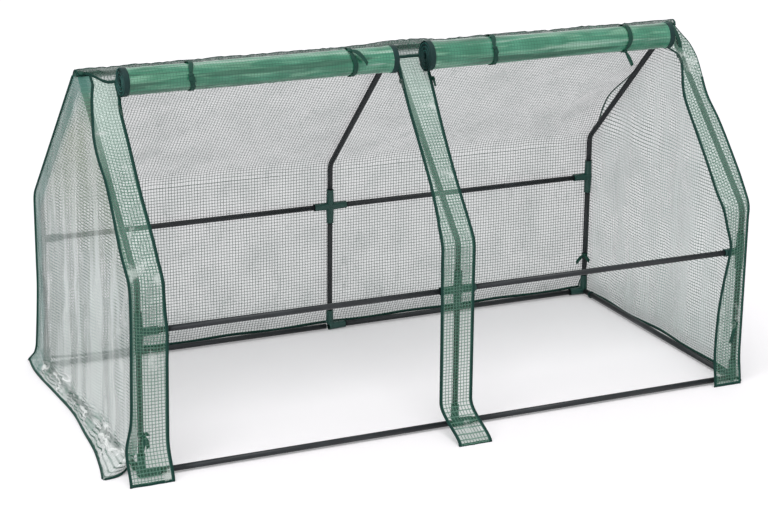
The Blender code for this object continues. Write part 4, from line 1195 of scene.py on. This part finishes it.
def ribbon(shape, points, ways, widths):
    """Adds a flat band to a bmesh. At each point it is as wide as its width, along its way."""
    rows = len(points) - 1
    for vertex in bmesh.ops.create_grid(shape, x_segments=4, y_segments=rows, size=0.5)["verts"]:
        row = round((vertex.co.y + 0.5) * rows)
        vertex.co = points[row] + ways[row].normalized() * vertex.co.x * widths[row]


def knot_and_tails(shape, place, facing, tails):
    """Adds a flattened knot and its loose tails; each tail is a way and a length."""
    turned = turned_along(facing)
    for number in (0, 1):
        lobe = Matrix.Translation(place) @ turned @ Matrix.Rotation(number * 1.1, 4, "Z")
        lobe @= Matrix.Diagonal((1.25 - 0.3 * number, 0.8, 0.55, 1.0))
        bmesh.ops.create_icosphere(shape, subdivisions=2, radius=KNOT, matrix=lobe)
    for way, length in tails:
        run = Vector(way).normalized()
        points, ways, widths = [], [], []
        for step in range(TAIL_STEPS + 1):
            share = step / TAIL_STEPS
            fall = upward * (0.45 * length * share * share)
            curl = Vector(facing) * (0.10 * length * math.sin(math.pi * share))
            points.append(place + run * length * share - fall + curl)
            ways.append(run.cross(TOWARD_VIEW) + Vector(TOWARD_VIEW) * 0.3 * share)
            widths.append(RIBBON * (0.5 + 0.4 * smooth(share * 2)))
        ribbon(shape, points, ways, widths)


def tied(name, shape, body, stands_for):
    """Finishes a tie as a piece of ribbon with its thickness."""
    thickened(finished(name, shape, body, woven_ribbon, stands_for), RIBBON_THICKNESS)


# Ribbon: the same dark green as the tape, in a closer weave.
woven_ribbon, tree, shader = new_finish("woven polyester ribbon", Roughness=0.6, Specular_IOR_Level=0.3)
ribbon_tint = mixed(tree, cloudy(tree, 60.0, 4.0), colour("#07332A"), colour("#12493B"))
tree.links.new(ribbon_tint, shader.inputs["Base Color"])
bumped(tree, shader, cloudy(tree, 900.0, 2.0), 0.0002)

for (door, end_name), (share, knot_degrees, tails) in door_ties.items():
    knot_angle = math.radians(knot_degrees)
    x = door_centres[door] + DOOR_WIDTH * share
    points, widths = [roll_place(x, HEADER - 0.004, FILM_OFF + 0.004)], [RIBBON]
    for step in range(TIE_STEPS + 1):
        angle = -math.pi / 2 + TIE_WRAP * step / TIE_STEPS
        radius = roll_radius(door, share + 0.5, angle, ROLL_RADIUS) + 0.0014
        slant = TIE_SLANT * smooth(abs(angle - knot_angle) / 1.2)
        points.append(round_roll(x + slant, radius, angle))
        widths.append(RIBBON * (1 - 0.5 * math.exp(-(((angle - knot_angle) / 0.35) ** 2))))
    points.append(roll_place(x + TIE_SLANT, HEADER - 0.008, FILM_OFF + 0.005))
    widths.append(RIBBON)
    facing = math.cos(knot_angle) * DOWN_SLOPE + math.sin(knot_angle) * OFF_SLOPE
    radius = roll_radius(door, share + 0.5, knot_angle, ROLL_RADIUS) + 0.003
    knot = round_roll(x, radius, knot_angle)
    shape = bmesh.new()
    ribbon(shape, points, [to_right] * len(points), widths)
    knot_and_tails(shape, knot, facing, tails)
    tied(f"{door}_door_{end_name}_ribbon", shape, f"{door}_door", [f"{door}_door_tie_{end_name}"])

# Each frame tie's place on its post, the way its knot faces, and its tails.
frame_ties = {
    "rear_right": ((HALF, SIDE, 0.135), (-1, -1, 0), [((-1, -0.2, -0.25), 0.032), ((0.6, -1, -0.4), 0.022)]),
    "front_left": ((-HALF, -SIDE, 0.120), (0.4, -1, 0),
                   [((0.5, -0.1, -1), 0.026), ((0.7, -0.1, 0.6), 0.018), ((-0.2, -0.1, -1), 0.030)]),
    "front_right": ((HALF, -SIDE, 0.180), (-0.5, -1, 0),
                    [((-0.4, -0.1, -1), 0.040), ((-0.5, -0.1, 1), 0.028)]),
}
for name, (post, facing, tails) in frame_ties.items():
    out = Vector(facing).normalized()
    points = []
    for step in range(POST_STEPS + 1):
        turned = Matrix.Rotation(2 * math.pi * step / POST_STEPS, 3, "Z") @ out
        points.append(Vector(post) + turned * (TUBE_RADIUS + 0.0008))
    shape = bmesh.new()
    ribbon(shape, points, [upward] * len(points), [RIBBON * 0.8] * len(points))
    knot_and_tails(shape, Vector(post) + out * (TUBE_RADIUS + 0.003), out, tails)
    tied(f"{name}_frame_ribbon", shape, "frame_and_cover",
         ["frame_tie_rear_right"] if name == "rear_right" else [])

# At both ends of the ridge the seams' tapes are turned over and sewn down in a small dark wad.
wad_tails = {"left": [], "right": [((-0.25, -0.7, -0.7), 0.045), ((0.10, -0.7, -0.62), 0.085)]}
for end_name, x in (("left", -HALF - 0.002), ("right", HALF - 0.008)):
    shape = bmesh.new()
    wad = roll_place(x, 0.006, FILM_OFF + 0.007)
    knot_and_tails(shape, wad, OFF_SLOPE, wad_tails[end_name])
    if end_name == "right":
        knot_and_tails(shape, wad - to_right * 0.010 + upward * 0.004, OFF_SLOPE, [])
        knot_and_tails(shape, wad - to_right * 0.016 - upward * 0.006, OFF_SLOPE, [])
    for y in (-0.006, 0.006):
        ridge_tip = Vector((math.copysign(COVER_END_X - 0.002, x), y, RIDGE_Z + 0.003))
        knot_and_tails(shape, ridge_tip, to_right, [])
    tied(f"{end_name}_ridge_wad", shape, "frame_and_cover", [])


# Zip sliders and pull tabs: die-cast zinc, painted the same dark green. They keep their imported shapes, with
# the sharp edges rounded as a casting's are.

MERGED_WITHIN = 0.00001
CAST_ROUND = 0.00025
CAST_ROUNDED_FROM = 30

# Stove enamel on zinc: a smooth hard gloss, worn thin in small spots.
enamel, tree, shader = new_finish("dark green enamelled zinc", Roughness=0.3, Coat_Weight=0.3)
worn = ranged(tree, cloudy(tree, 300.0, 4.0), 0.60, 0.72, 0, 0.6)
enamel_tint = mixed(tree, worn, colour("#0B3A2F"), colour("#5E6B66"))
tree.links.new(enamel_tint, shader.inputs["Base Color"])
for node_name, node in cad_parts.items():
    if node_name.endswith(("_zip_slider", "_pull_tab")):
        node.data.materials.clear()
        node.data.materials.append(enamel)
        weld = node.modifiers.new("weld", "WELD")
        weld.merge_threshold = MERGED_WITHIN
        rounded_edges(node, CAST_ROUND, CAST_ROUNDED_FROM)
